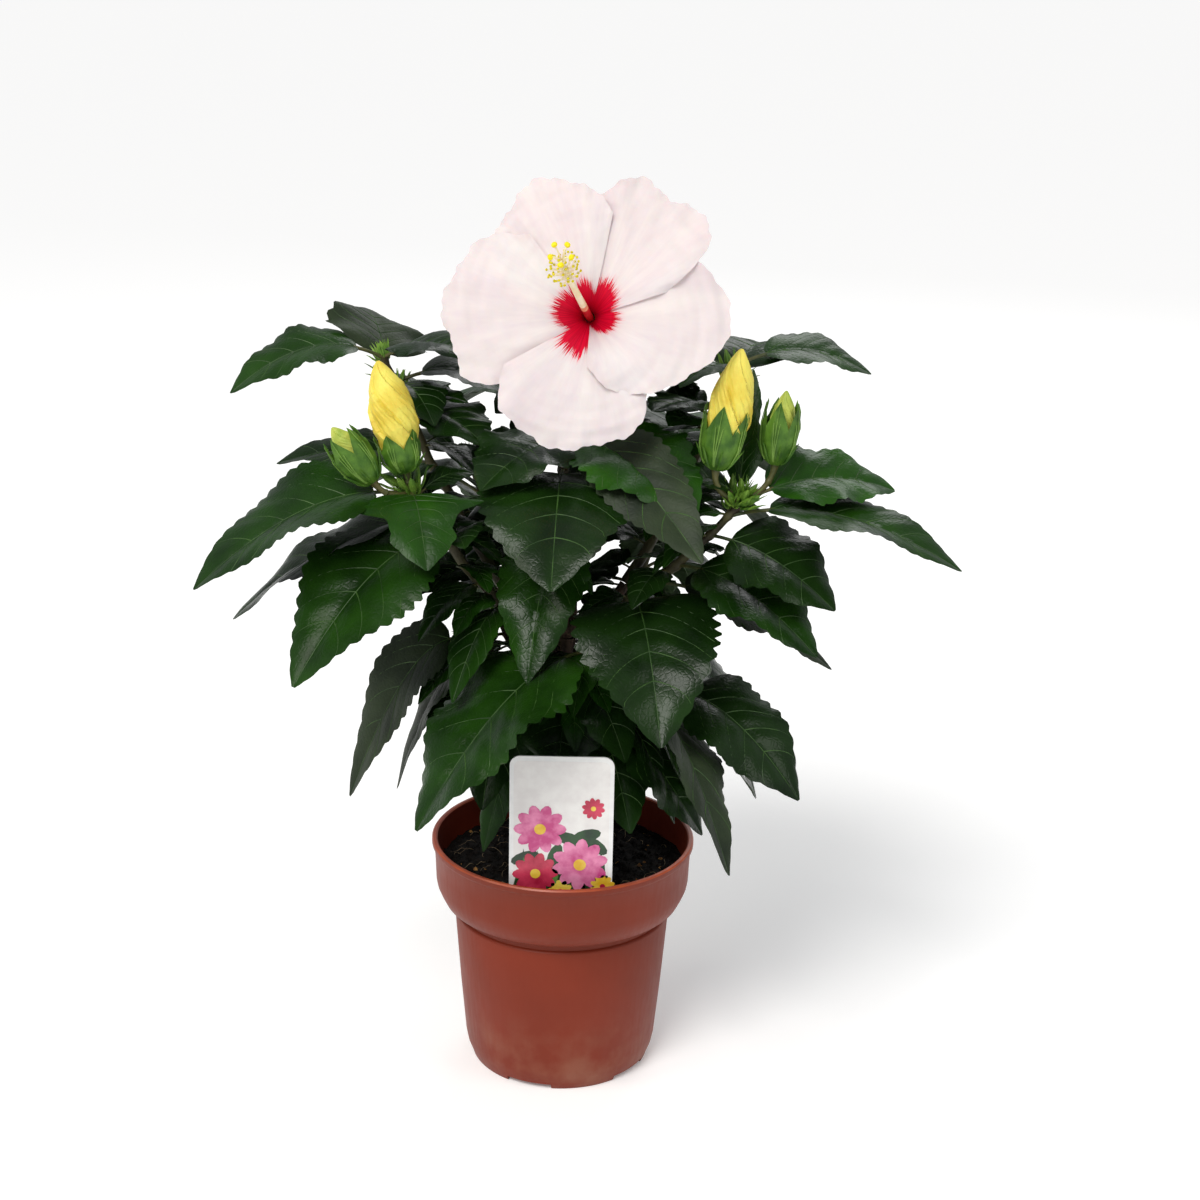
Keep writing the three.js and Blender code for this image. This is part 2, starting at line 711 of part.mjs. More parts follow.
// A petal is narrow at its claw, and its margin follows a smooth curve through the reaches given for it.
function petalGeometry({ turn, spread, margin }) {
  const edge = new THREE.SplineCurve(margin.map((reach, place) => new THREE.Vector2(place, reach)));
  const rings = [];
  for (let station = 0; station <= PETAL_STATIONS; station++) {
    const share = station / PETAL_STATIONS;
    const top = [];
    const under = [];
    for (let column = 0; column <= PETAL_COLUMNS; column++) {
      const offset = (column / PETAL_COLUMNS) * 2 - 1;
      const claw = lerp(PETAL_CLAW_WIDTH, 1, Math.min(1, share / PETAL_CLAW_SHARE));
      const angle = rad(turn + offset * spread * claw);
      const reach = edge.getPoint(column / PETAL_COLUMNS).y;
      const distance = lerp(BLOOM_THROAT_RADIUS, reach, share);
      const pinwheel = -PETAL_PINWHEEL * Math.sin(rad(offset * spread * claw)) * distance;
      const ruffle = PETAL_RUFFLE * share * share * Math.sin(offset * 7 + turn);
      const height = corollaHeight(distance) + pinwheel + ruffle;
      const x = Math.cos(angle) * distance;
      const y = Math.sin(angle) * distance;
      top.push(new THREE.Vector3(x, y, height));
      under.push(new THREE.Vector3(x, y, height - PETAL_THICKNESS));
    }
    rings.push([...under, ...top.reverse()]);
  }
  return loftStrip(rings, PETAL_COLUMNS + 1);
}

// A closed skin over rings that are two matching rows of points, with square ends between the rows.
function loftStrip(rings, row) {
  const count = rings[0].length;
  const skin = loft(rings);
  const faces = [...skin.index.array].slice(0, (rings.length - 1) * count * 6);
  const last = (rings.length - 1) * count;
  for (let i = 0; i < row - 1; i++) {
    const a = i;
    const b = i + 1;
    const c = count - 2 - i;
    const d = count - 1 - i;
    faces.push(a, c, b, a, d, c);
    faces.push(last + a, last + b, last + c, last + a, last + c, last + d);
  }
  skin.setIndex(faces);
  return skin;
}

// The staminal column: a slender tube that leans up and ends in the oval zone of anthers.
function columnSolid(grow) {
  const foot = [0, 0, -BLOOM_FUNNEL_DEPTH - COLUMN_SEAT - grow];
  const path = [foot, [-4, 5, 10], [-11, 23, COLUMN_LENGTH - BLOOM_FUNNEL_DEPTH]];
  const radii = [
    [0, 2], [0.25, COLUMN_RADIUS], [0.55, COLUMN_RADIUS], [0.62, 4], [0.72, ANTHER_ZONE_RADIUS],
    [0.86, ANTHER_ZONE_RADIUS], [0.94, 4.5], [1, 2],
  ];
  return solid(loft(radii.map(([t, radius]) => (
    ringAt(curveAt(path, t), curveDirection(path, t), radius + grow, 8)
  ))));
}

// A green cup with pointed teeth round the foot of a flower or bud, standing on local +Z.
function calyxSolid(radius, length, flare) {
  const rings = [];
  const levels = [[0, 0.34], [0.12, 0.7], [0.35, 1], [CALYX_NOTCH, flare], [1, flare * 0.92]];
  for (const [share, wide] of levels) {
    rings.push(Array.from({ length: CALYX_SIDES }, (_, i) => {
      const angle = (i / CALYX_SIDES) * 2 * Math.PI;
      const level = i % 2 === 0 ? share : Math.min(share, lerp(CALYX_NOTCH, share, 0.1));
      return new THREE.Vector3(Math.cos(angle) * radius * wide, Math.sin(angle) * radius * wide, length * level);
    }));
  }
  return solid(loft(rings));
}

// A rolled-up corolla: an oval point whose folds wind round it.
function corollaSolid(radius, length, start, grow) {
  const sides = 10;
  const levels = [[0, 0.5], [0.15, 0.8], [0.35, 1], [0.55, 0.98], [0.75, 0.76], [0.9, 0.42], [1, 0.12]];
  return solid(loft(levels.map(([share, wide]) => Array.from({ length: sides }, (_, i) => {
    const angle = (i / sides) * 2 * Math.PI + share * 1.4;
    const fold = i % 2 ? 0.93 : 1.04;
    const size = radius * wide * fold + grow;
    const height = lerp(start, length, share) + (share === 1 ? grow : 0) - (share === 0 ? grow : 0);
    return new THREE.Vector3(Math.cos(angle) * size, Math.sin(angle) * size, height);
  }))));
}

// Turns local +Z along a line from foot to tip.
function standing(foot, tip) {
  const direction = vec(tip).sub(vec(foot)).normalize();
  const turn = new THREE.Quaternion().setFromUnitVectors(new THREE.Vector3(0, 0, 1), direction);
  return { position: vec(foot), turn, direction };
}

function makeBud({ name, foot, tip, corolla, calyx, sleeve }) {
  const { position, turn } = standing(foot, tip);
  const length = vec(foot).distanceTo(vec(tip));
  const start = BUD_COROLLA_START;
  const room = corollaSolid(corolla, length, start, GAP);
  const cup = largest(calyxSolid(calyx, sleeve, BUD_CALYX_FLARE).subtract(room));
  const bud = new THREE.Group();
  bud.add(part(`${name}_corolla`, geometryOf(corollaSolid(corolla, length, start, 0)), "yellow_bud"));
  bud.add(part(`${name}_calyx`, geometryOf(cup), "calyx"));
  bud.position.copy(position);
  bud.quaternion.copy(turn);
  return bud;
}

// A flower stalk from a stem's end up to the foot of a calyx, stopping a gap short of it.
function stalkSolid(branch, foot, direction) {
  const start = curveAt(branch.path, 0.97);
  const end = foot.clone().addScaledVector(direction, -GAP);
  const middle = end.clone().addScaledVector(direction, -end.distanceTo(start) * 0.5);
  const path = [start.toArray(), middle.toArray(), end.toArray()];
  return solid(limb(path, 0, 1, () => FLOWER_STALK_RADIUS, 4, 3));
}

const BLOOM_FRAME = bloomPlacement();
const CALYX_FOOT = new THREE.Vector3(0, 0, -BLOOM_FUNNEL_DEPTH - BLOOM_CALYX_DEPTH);

function makeBloom() {
  const bloom = new THREE.Group();
  bloom.applyMatrix4(BLOOM_FRAME);
  const columnRoom = columnSolid(GAP);
  const calyx = (grow) => {
    const cup = calyxSolid(BLOOM_CALYX_RADIUS + grow, BLOOM_CALYX_LENGTH + 2 * grow, BLOOM_CALYX_FLARE);
    return cup.translate([0, 0, CALYX_FOOT.z - grow]);
  };
  PETALS.forEach((petal, index) => {
    const body = solid(petalGeometry(petal)).subtract(columnRoom).subtract(calyx(GAP));
    bloom.add(part(`bloom_petal_${index + 1}`, geometryOf(largest(body)), "petal"));
  });
  bloom.add(part("bloom_column", geometryOf(columnSolid(0)), "column"));
  bloom.add(part("bloom_calyx", geometryOf(largest(calyx(0).subtract(columnRoom))), "calyx"));
  return bloom;
}

// A pointed cluster of young buds that ends a shoot.
function shootTip(branch) {
  const start = curveAt(branch.path, 0.97);
  const direction = curveDirection(branch.path, 1);
  const rings = [[0, 1.6], [0.4, 3.2], [0.8, 2], [1, 0.5]].map(([share, radius]) => (
    ringAt(start.clone().addScaledVector(direction, share * SHOOT_TIP_LENGTH), direction, radius, 5)
  ));
  return solid(loft(rings));
}

function makeShrub() {
  const shrub = new THREE.Group();
  const plan = planLeaves();
  const trunk = trunkSolid(0);
  const trunkRoom = trunkSolid(GAP);
  shrub.add(part("trunk", geometryOf(trunk), "bark"));
  const rooms = [trunkRoom];
  for (const branch of BRANCHES) {
    if (!branch.bough) continue;
    let bough = solid(limb(branch.path, 0, BOUGH_SHARE, (t) => branchRadius(branch, t), LIMB_SIDES, 4));
    for (const room of rooms) bough = bough.subtract(room);
    rooms.push(solid(limb(branch.path, 0, stemStart(branch), (t) => branchRadius(branch, t, GAP), LIMB_SIDES, 4)));
    shrub.add(part(`bough_${branch.name}`, geometryOf(largest(bough)), "bark"));
  }
  for (const branch of BRANCHES) {
    const pieces = [solid(limb(branch.path, stemStart(branch), 1, (t) => branchRadius(branch, t), STEM_SIDES, 6))];
    for (const leaf of plan.get(branch.name)) pieces.push(leafSolid(branch, leaf));
    const buds = BUDS.filter((bud) => bud.branch === branch.name);
    if (!buds.length && branch.name !== BLOOM_BRANCH) pieces.push(shootTip(branch));
    for (const bud of buds) {
      pieces.push(stalkSolid(branch, vec(bud.foot), standing(bud.foot, bud.tip).direction));
    }
    if (branch.name === BLOOM_BRANCH) {
      const facing = new THREE.Vector3(0, 0, 1).transformDirection(BLOOM_FRAME);
      pieces.push(stalkSolid(branch, CALYX_FOOT.clone().applyMatrix4(BLOOM_FRAME), facing));
    }
    let mass = joined(pieces);
    for (const room of rooms) mass = mass.subtract(room);
    shrub.add(part(`foliage_${branch.name}`, geometryOf(largest(mass)), "leaf"));
  }
  return shrub;
}

const hibiscus = new THREE.Group();
hibiscus.add(makePot());
hibiscus.add(makeCompost());
hibiscus.add(part("plant_tag", geometryOf(solid(tagGeometry(0))), "card_plastic"));
hibiscus.add(makeShrub());
hibiscus.add(makeBloom());
for (const bud of BUDS) hibiscus.add(makeBud(bud));

export default hibiscus;
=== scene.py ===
# %% [markdown]
# # A hibiscus in flower, in its nursery pot
#
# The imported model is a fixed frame, in metres, and every piece made here stands where that frame
# says. Lengths below are written in millimetres, as the plant was measured, and turned to metres
# once, at the moment a mesh is made.

import math

import bmesh
import bpy
import numpy as np
from mathutils import Matrix, Vector


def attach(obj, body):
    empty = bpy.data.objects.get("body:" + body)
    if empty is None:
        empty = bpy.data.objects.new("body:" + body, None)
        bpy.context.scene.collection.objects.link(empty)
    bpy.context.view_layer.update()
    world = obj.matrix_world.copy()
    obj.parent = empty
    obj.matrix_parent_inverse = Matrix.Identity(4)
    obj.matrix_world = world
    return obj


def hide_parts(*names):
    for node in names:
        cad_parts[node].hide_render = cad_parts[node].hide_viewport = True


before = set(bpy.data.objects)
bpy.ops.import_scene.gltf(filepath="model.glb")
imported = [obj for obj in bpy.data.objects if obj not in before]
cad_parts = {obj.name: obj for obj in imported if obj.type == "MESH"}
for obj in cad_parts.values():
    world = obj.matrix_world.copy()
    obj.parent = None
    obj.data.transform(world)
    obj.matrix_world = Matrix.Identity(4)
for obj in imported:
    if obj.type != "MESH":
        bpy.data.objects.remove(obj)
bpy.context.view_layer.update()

# %% [markdown]
# ## Camera
#
# A portrait of a plant is taken from a little above the rim of the pot, so the eye looks down into
# the crown. The place, the pitch and the lens were worked out from three things of known size in
# the picture: the ellipse of the pot's rim, the pot's foot and the bloom. The camera also leans a
# degree, as a hand-held one does, and that is a turn about its own line of sight.

# %% Camera
MM = 0.001
CAMERA_PLACE = (16, -980, 565)
CAMERA_PITCH = 18.3
CAMERA_ROLL = 1.2
CAMERA_LENS = 64.5
SENSOR_WIDTH = 36


def put_in_scene(name, data):
    """An object made from its data and linked into the scene."""
    thing = bpy.data.objects.new(name, data)
    bpy.context.scene.collection.objects.link(thing)
    return thing


camera_data = bpy.data.cameras.new("camera")
camera_data.lens = CAMERA_LENS
camera_data.sensor_width = SENSOR_WIDTH
camera_data.sensor_fit = "HORIZONTAL"
camera = put_in_scene("camera", camera_data)
pitch = Matrix.Rotation(math.radians(90 - CAMERA_PITCH), 4, "X")
roll = Matrix.Rotation(math.radians(CAMERA_ROLL), 4, "Z")
camera.matrix_world = Matrix.Translation([value * MM for value in CAMERA_PLACE]) @ pitch @ roll
bpy.context.scene.camera = camera
print("camera stands", round(-CAMERA_PLACE[1] * MM, 2), "m in front of the pot's middle")

# %% [markdown]
# ## Gathering shapes into one mesh
#
# A shrub is hundreds of small things of a few kinds. Making an object of each would be slow to
# render and awkward to export, so shapes of one kind are gathered in a pile of points and faces and
# become one object at the end. The pile also turns every skin outwards and keeps an edge crisp
# where two faces meet sharply, such as a leaf's margin or the lip of the pot.

# %% The pile
SHARP_ANGLE = math.radians(38)


def keep_edges_crisp(mesh, turn_outwards=False):
    """Marks the edges where two faces meet sharply; it can turn the skins outwards first."""
    shape = bmesh.new()
    shape.from_mesh(mesh)
    if turn_outwards:
        bmesh.ops.recalc_face_normals(shape, faces=shape.faces)
    for edge in shape.edges:
        edge.smooth = edge.calc_face_angle(0) < SHARP_ANGLE
    shape.to_mesh(mesh)
    shape.free()


class Pile:
    """Points in millimetres and faces of many small shapes, each face with the number of its finish."""

    def __init__(self):
        self.points = []
        self.faces = []
        self.finishes = []
        self.count = 0

    def add(self, points, faces, finish=0):
        """Adds one closed skin, and returns the number of its first point."""
        points = np.asarray(points, float).reshape(-1, 3)
        start = self.count
        self.points.append(points)
        self.faces += [[corner + start for corner in face] for face in faces]
        self.finishes += [finish] * len(faces)
        self.count += len(points)
        return start

    def piece(self, name, materials, slot, replaced=()):
        """Makes the object, which rides on the plant's one body and stands for the nodes it replaces."""
        mesh = bpy.data.meshes.new(name)
        mesh.from_pydata((np.concatenate(self.points) * MM).tolist(), [], self.faces)
        mesh.polygons.foreach_set("material_index", self.finishes)
        mesh.polygons.foreach_set("use_smooth", [True] * len(self.faces))
        for material in materials:
            mesh.materials.append(material)
        keep_edges_crisp(mesh, turn_outwards=True)
        thing = put_in_scene(name, mesh)
        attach(thing, "root")
        if replaced:
            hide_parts(*replaced)
        mesh.calc_loop_triangles()
        print(name, "has", len(mesh.loop_triangles), "triangles")
        return thing


# %% [markdown]
# Three ways of making a skin are enough for the whole plant. A *ring skin* runs over rings of
# points and closes its two ends, which makes stems, pots, calyces and buds. A *lens* is a thin
# sheet whose top and underside share their margin, which makes leaves and petals. A *ridge* is a
# slim bar half sunk in a surface, which makes veins.

# %% Ring skin, tube, lens and ridge
def grid_faces(indexes):
    """Quads between the neighbouring rows and columns of a grid of point numbers."""
    corners = [indexes[:-1, :-1], indexes[:-1, 1:], indexes[1:, 1:], indexes[1:, :-1]]
    return np.stack(corners, axis=-1).reshape(-1, 4).tolist()


def add_rings(pile, rings, finish=0):
    """A closed skin over rings of points, an array of rows by columns by three."""
    rings = np.asarray(rings, float)
    rows, columns = rings.shape[:2]
    indexes = np.arange(rows * columns).reshape(rows, columns)
    sides = grid_faces(np.hstack([indexes, indexes[:, :1]]))
    pile.add(rings, sides + [indexes[0][::-1].tolist(), indexes[-1].tolist()], finish)


def carried_frames(centres):
    """Directions along, to the side of and up from a line, carried on without twist."""
    steps = np.gradient(centres, axis=0)
    along = steps / np.linalg.norm(steps, axis=1, keepdims=True)
    side = np.cross(along[0], [0.0, 0.0, 1.0] if abs(along[0][2]) < 0.9 else [0.0, 1.0, 0.0])
    sides = []
    for direction in along:
        side = side - direction * np.dot(side, direction)
        side = side / np.linalg.norm(side)
        sides.append(side)
    sides = np.array(sides)
    return along, sides, np.cross(along, sides)


def round_turn(steps):
    """Angles that go once round in equal steps."""
    return np.arange(steps) / steps * 2 * np.pi


def around(angles, reach, level):
    """Points at a reach from the upright axis, at angles round it and on their levels."""
    parts = np.broadcast_arrays(np.cos(angles) * reach, np.sin(angles) * reach, level)
    return np.stack(parts, axis=-1)


def tube_rings(centres, radii, sides):
    """Rings of points round a line; radii is one number a row, or one a row and column."""
    centres = np.asarray(centres, float)
    _, side, up = carried_frames(centres)
    angles = round_turn(sides)[None, :, None]
    radii = np.asarray(radii, float)
    radii = radii[:, None] if radii.ndim == 1 else radii
    across = np.cos(angles) * side[:, None] + np.sin(angles) * up[:, None]
    return centres[:, None] + across * radii[..., None]


def add_tube(pile, centres, radii, sides, finish=0):
    """A closed tube along a line of points."""
    add_rings(pile, tube_rings(centres, radii, sides), finish)


def add_lens(pile, top, under, top_finish=0, under_finish=0):
    """A thin closed sheet over a grid of top points and a grid of under points, with a shared margin."""
    rows, columns = top.shape[:2]
    indexes = np.arange(rows * columns).reshape(rows, columns)
    below = indexes.copy()
    inner = (rows - 2) * (columns - 2)
    below[1:-1, 1:-1] = rows * columns + np.arange(inner).reshape(rows - 2, columns - 2)
    points = np.concatenate([top.reshape(-1, 3), under[1:-1, 1:-1].reshape(-1, 3)])
    start = pile.add(points, grid_faces(indexes), top_finish)
    under_faces = grid_faces(below[:, ::-1])
    pile.faces += [[corner + start for corner in face] for face in under_faces]
    pile.finishes += [under_finish] * len(under_faces)


def add_ridge(pile, line, up, half_widths, height, depth, finish=0):
    """A slim bar along a line on a surface that faces up, sunk in by depth and proud by height."""
    steps = np.gradient(line, axis=0)
    side = np.cross(up, steps)
    side = side / np.linalg.norm(side, axis=1, keepdims=True)
    wide = side * np.asarray(half_widths)[:, None]
    scale = (np.asarray(half_widths) / max(half_widths))[:, None]
    bar = [line - wide, line - up * depth * scale, line + wide, line + up * height * scale]
    add_rings(pile, np.stack(bar, axis=1), finish)


def mix(low, high, share):
    """The number that lies at a share of the way from low to high."""
    return (1 - share) * low + share * high


print("shapes ready: ring skin, tube, lens and ridge")

# %% [markdown]
# ## Materials: the tools
#
# Colours are written as the sRGB hex values that an eye would pick from a photograph, and the
# renderer works in linear light, so one function turns them. One more adds a node with its
# settings, its fixed inputs and its links. A Mix node that mixes colours has several sockets of one
# name, so it is addressed by their numbers. Most surfaces of a plant are mottled, two close tones
# that drift in lumps, with pores or fibres that only the light shows, so one function makes those.

# %% Colour and node helpers
MIX_FACTOR, MIX_FROM, MIX_TO, MIX_RESULT = 0, 6, 7, 2
EVEN = (1, 1, 1)
LENGTHWISE = (1, 1, 0.3)


def linear(code):
    """A linear colour with alpha from an sRGB hex code such as #1c4216."""
    channels = [int(code[place:place + 2], 16) / 255 for place in (1, 3, 5)]
    return [c / 12.92 if c <= 0.04045 else ((c + 0.055) / 1.055) ** 2.4 for c in channels] + [1.0]


def add_node(tree, kind, settings=None, inputs=None, links=None):
    """A node with its properties, its unlinked inputs and the outputs that feed its other inputs."""
    node = tree.nodes.new(kind)
    for name, value in (settings or {}).items():
        setattr(node, name, value)
    for name, value in (inputs or {}).items():
        node.inputs[name].default_value = value
    for name, source in (links or {}).items():
        tree.links.new(source, node.inputs[name])
    return node


def new_material(name, **fixed):
    """A material with a Principled shader; returns it, its tree and the shader."""
    material = bpy.data.materials.new(name)
    material.use_nodes = True
    shader = material.node_tree.nodes["Principled BSDF"]
    for socket, value in fixed.items():
        shader.inputs[socket.replace("_", " ")].default_value = value
    return material, material.node_tree, shader


def grain(tree, size, detail=3.0, stretch=EVEN):
    """Noise in the object's own space whose lumps are about size millimetres across."""
    place = add_node(tree, "ShaderNodeTexCoord")
    scaled = add_node(
        tree, "ShaderNodeMapping", inputs={"Scale": stretch}, links={"Vector": place.outputs["Object"]},
    )
    noise = add_node(
        tree, "ShaderNodeTexNoise",
        inputs={"Scale": 1 / (size * MM), "Detail": detail},
        links={"Vector": scaled.outputs["Vector"]},
    )
    return noise.outputs["Fac"]


def two_tone(tree, shader, factor, first, second, low=0.35, high=0.65):
    """Feeds the base colour from two hex colours, mixed where the factor runs from low to high."""
    spread = add_node(
        tree, "ShaderNodeMapRange",
        inputs={"From Min": low, "From Max": high},
        links={"Value": factor},
    )
    tones = add_node(
        tree, "ShaderNodeMix", {"data_type": "RGBA"},
        inputs={MIX_FROM: linear(first), MIX_TO: linear(second)},
        links={MIX_FACTOR: spread.outputs["Result"]},
    )
    tree.links.new(tones.outputs[MIX_RESULT], shader.inputs["Base Color"])
    return tones.outputs[MIX_RESULT]


def relief(tree, shader, height, depth, strength=1.0):
    """A bump whose full height is depth millimetres."""
    bump = add_node(
        tree, "ShaderNodeBump",
        inputs={"Strength": strength, "Distance": depth * MM},
        links={"Height": height},
    )
    tree.links.new(bump.outputs["Normal"], shader.inputs["Normal"])


def mottled(name, tones, lumps, spread=(0.35, 0.65), pores=None, **fixed):
    """A material of two tones in lumps; lumps and pores are grain's values, pores with a depth first."""
    material, tree, shader = new_material(name, **fixed)
    two_tone(tree, shader, grain(tree, *lumps), *tones, *spread)
    if pores:
        relief(tree, shader, grain(tree, *pores[1:]), pores[0])
    return material


print("material tools ready")

# %% [markdown]
# ## Leaf materials
#
# A hibiscus leaf is dark and waxy on top: a thin clear cuticle over green tissue, so it has a soft
# but definite gloss. Its net of finest veins puffs the skin into cells two or three millimetres
# across, and that is the pattern of the bump. The underside has no wax and reads grey-green and
# dull. Old leaves are near black-green, and young ones are a clear mid green, so the blade is
# one function with a few tones, and each leaf gets one tone. One tone is the grown green painted
# brighter, as painted light on the leaves that stand lit.

# %% Leaf blades, undersides and veins
LEAF_CLOUD = 22
LEAF_NET_CELL = 2.6
LEAF_NET_EDGE = 0.22
LEAF_NET_RELIEF = 0.05


def leaf_blade(name, deep, painted_lit, roughness):
    """Living leaf skin; deep and fresh are the two greens that drift over it."""
    material, tree, shader = new_material(name, Roughness=roughness, IOR=1.4, Specular_IOR_Level=0.3)
    two_tone(tree, shader, grain(tree, LEAF_CLOUD), deep, painted_lit, 0.3, 0.7)
    place = add_node(tree, "ShaderNodeTexCoord")
    net = add_node(
        tree, "ShaderNodeTexVoronoi", {"feature": "DISTANCE_TO_EDGE"},
        inputs={"Scale": 1 / (LEAF_NET_CELL * MM)},
        links={"Vector": place.outputs["Object"]},
    )
    puffed = add_node(
        tree, "ShaderNodeMapRange", inputs={"From Max": LEAF_NET_EDGE},
        links={"Value": net.outputs["Distance"]},
    )
    relief(tree, shader, puffed.outputs["Result"], LEAF_NET_RELIEF)
    return material


# The wax shines on old and grown leaves, is thinner on young ones and is dusty on shaded ones.
LEAF_TONES = {
    "dark": ("waxy_leaf_old", "#0b1d06", "#17300b", 0.28),
    "mid": ("waxy_leaf_grown", "#0f2806", "#1e400b", 0.28),
    # Painted light: the grown green made brighter, for leaves that stand in full light.
    "painted_lit": ("waxy_leaf_grown_painted_lit", "#143606", "#29560e", 0.29),
    "young": ("waxy_leaf_young", "#102f04", "#204808", 0.36),
    "grey": ("waxy_leaf_shaded", "#1a2417", "#303d26", 0.5),
}
TONE_ORDER = list(LEAF_TONES)
LEAF_FINISHES = [leaf_blade(*values) for values in LEAF_TONES.values()]
LEAF_FINISHES += [
    leaf_blade("leaf_underside", "#1f301a", "#344828", 0.62),
    # A vein has less green in it than the blade, so it is the paler line, half as glossy.
    mottled("leaf_vein", ("#1b360f", "#3c5c25"), (9,), Roughness=0.5, IOR=1.43),
]
UNDER_FINISH = len(TONE_ORDER)
VEIN_FINISH = UNDER_FINISH + 1
print("leaf finishes:", [material.name for material in LEAF_FINISHES])

# %% [markdown]
# ## Bark and green shoots
#
# The oldest wood is a grey-brown skin with shallow lengthwise cracks and small pale pores. A shoot
# of this year has no cracks yet: its thin skin is brown over green, and slightly hairy, so it is
# duller than a leaf. Only the youngest buds are a clear green.

# %% Bark and shoot materials
WOOD_FINISHES = [
    # Cork has no gloss at all, and its cracks are the darker tone.
    mottled(
        "hibiscus_bark", ("#231a14", "#5c493a"), (3.2, 5, (1, 1, 0.22)), (0.3, 0.72),
        pores=(0.5, 3.2, 5, (1, 1, 0.22)), Roughness=0.88, IOR=1.45,
    ),
    # A thin brown skin lets some green through and has a low, even sheen.
    mottled(
        "brown_shoot", ("#2e2718", "#4c4a28"), (9,), pores=(0.08, 0.8, 2), Roughness=0.6, IOR=1.45,
    ),
    mottled(
        "leaf_stalk", ("#33401c", "#5e5a30"), (11,), pores=(0.06, 0.9, 2, LENGTHWISE),
        Roughness=0.5, IOR=1.45,
    ),
    # The newest growth is a clear yellow-green, with fibres just under its skin.
    mottled(
        "young_bud_skin", ("#3f6a1c", "#7a9f3a"), (6,), pores=(0.08, 0.8, 2, LENGTHWISE),
        Roughness=0.5, IOR=1.43,
    ),
]
BARK_FINISH, SHOOT_FINISH, STALK_FINISH, FRESH_FINISH = range(4)
print("wood finishes:", [material.name for material in WOOD_FINISHES])

# %% [markdown]
# ## The branches and their leaves
#
# Every branch of the shrub grows from the trunk on a curve with three points. The leaves that the
# viewer sees were set one by one; the rest come from a rule that goes up the stem by the golden
# angle, as a hibiscus sets its leaves, and skips any leaf that would touch something. The same
# numbers and the same seeded rule made the frame's solids, so the leaves grow in the same places
# here. Each leaf set one by one also has a tone.

# %% Trunk, branches, buds and bloom: places in millimetres
COMPOST_TOP = 105
GAP = 0.3
TRUNK_PATH = [[3, 4, COMPOST_TOP + GAP], [-5, 0, 165], [0, 0, 222]]
BOUGH_SHARE = 0.32
STEM_TIP_RADIUS = 1.5
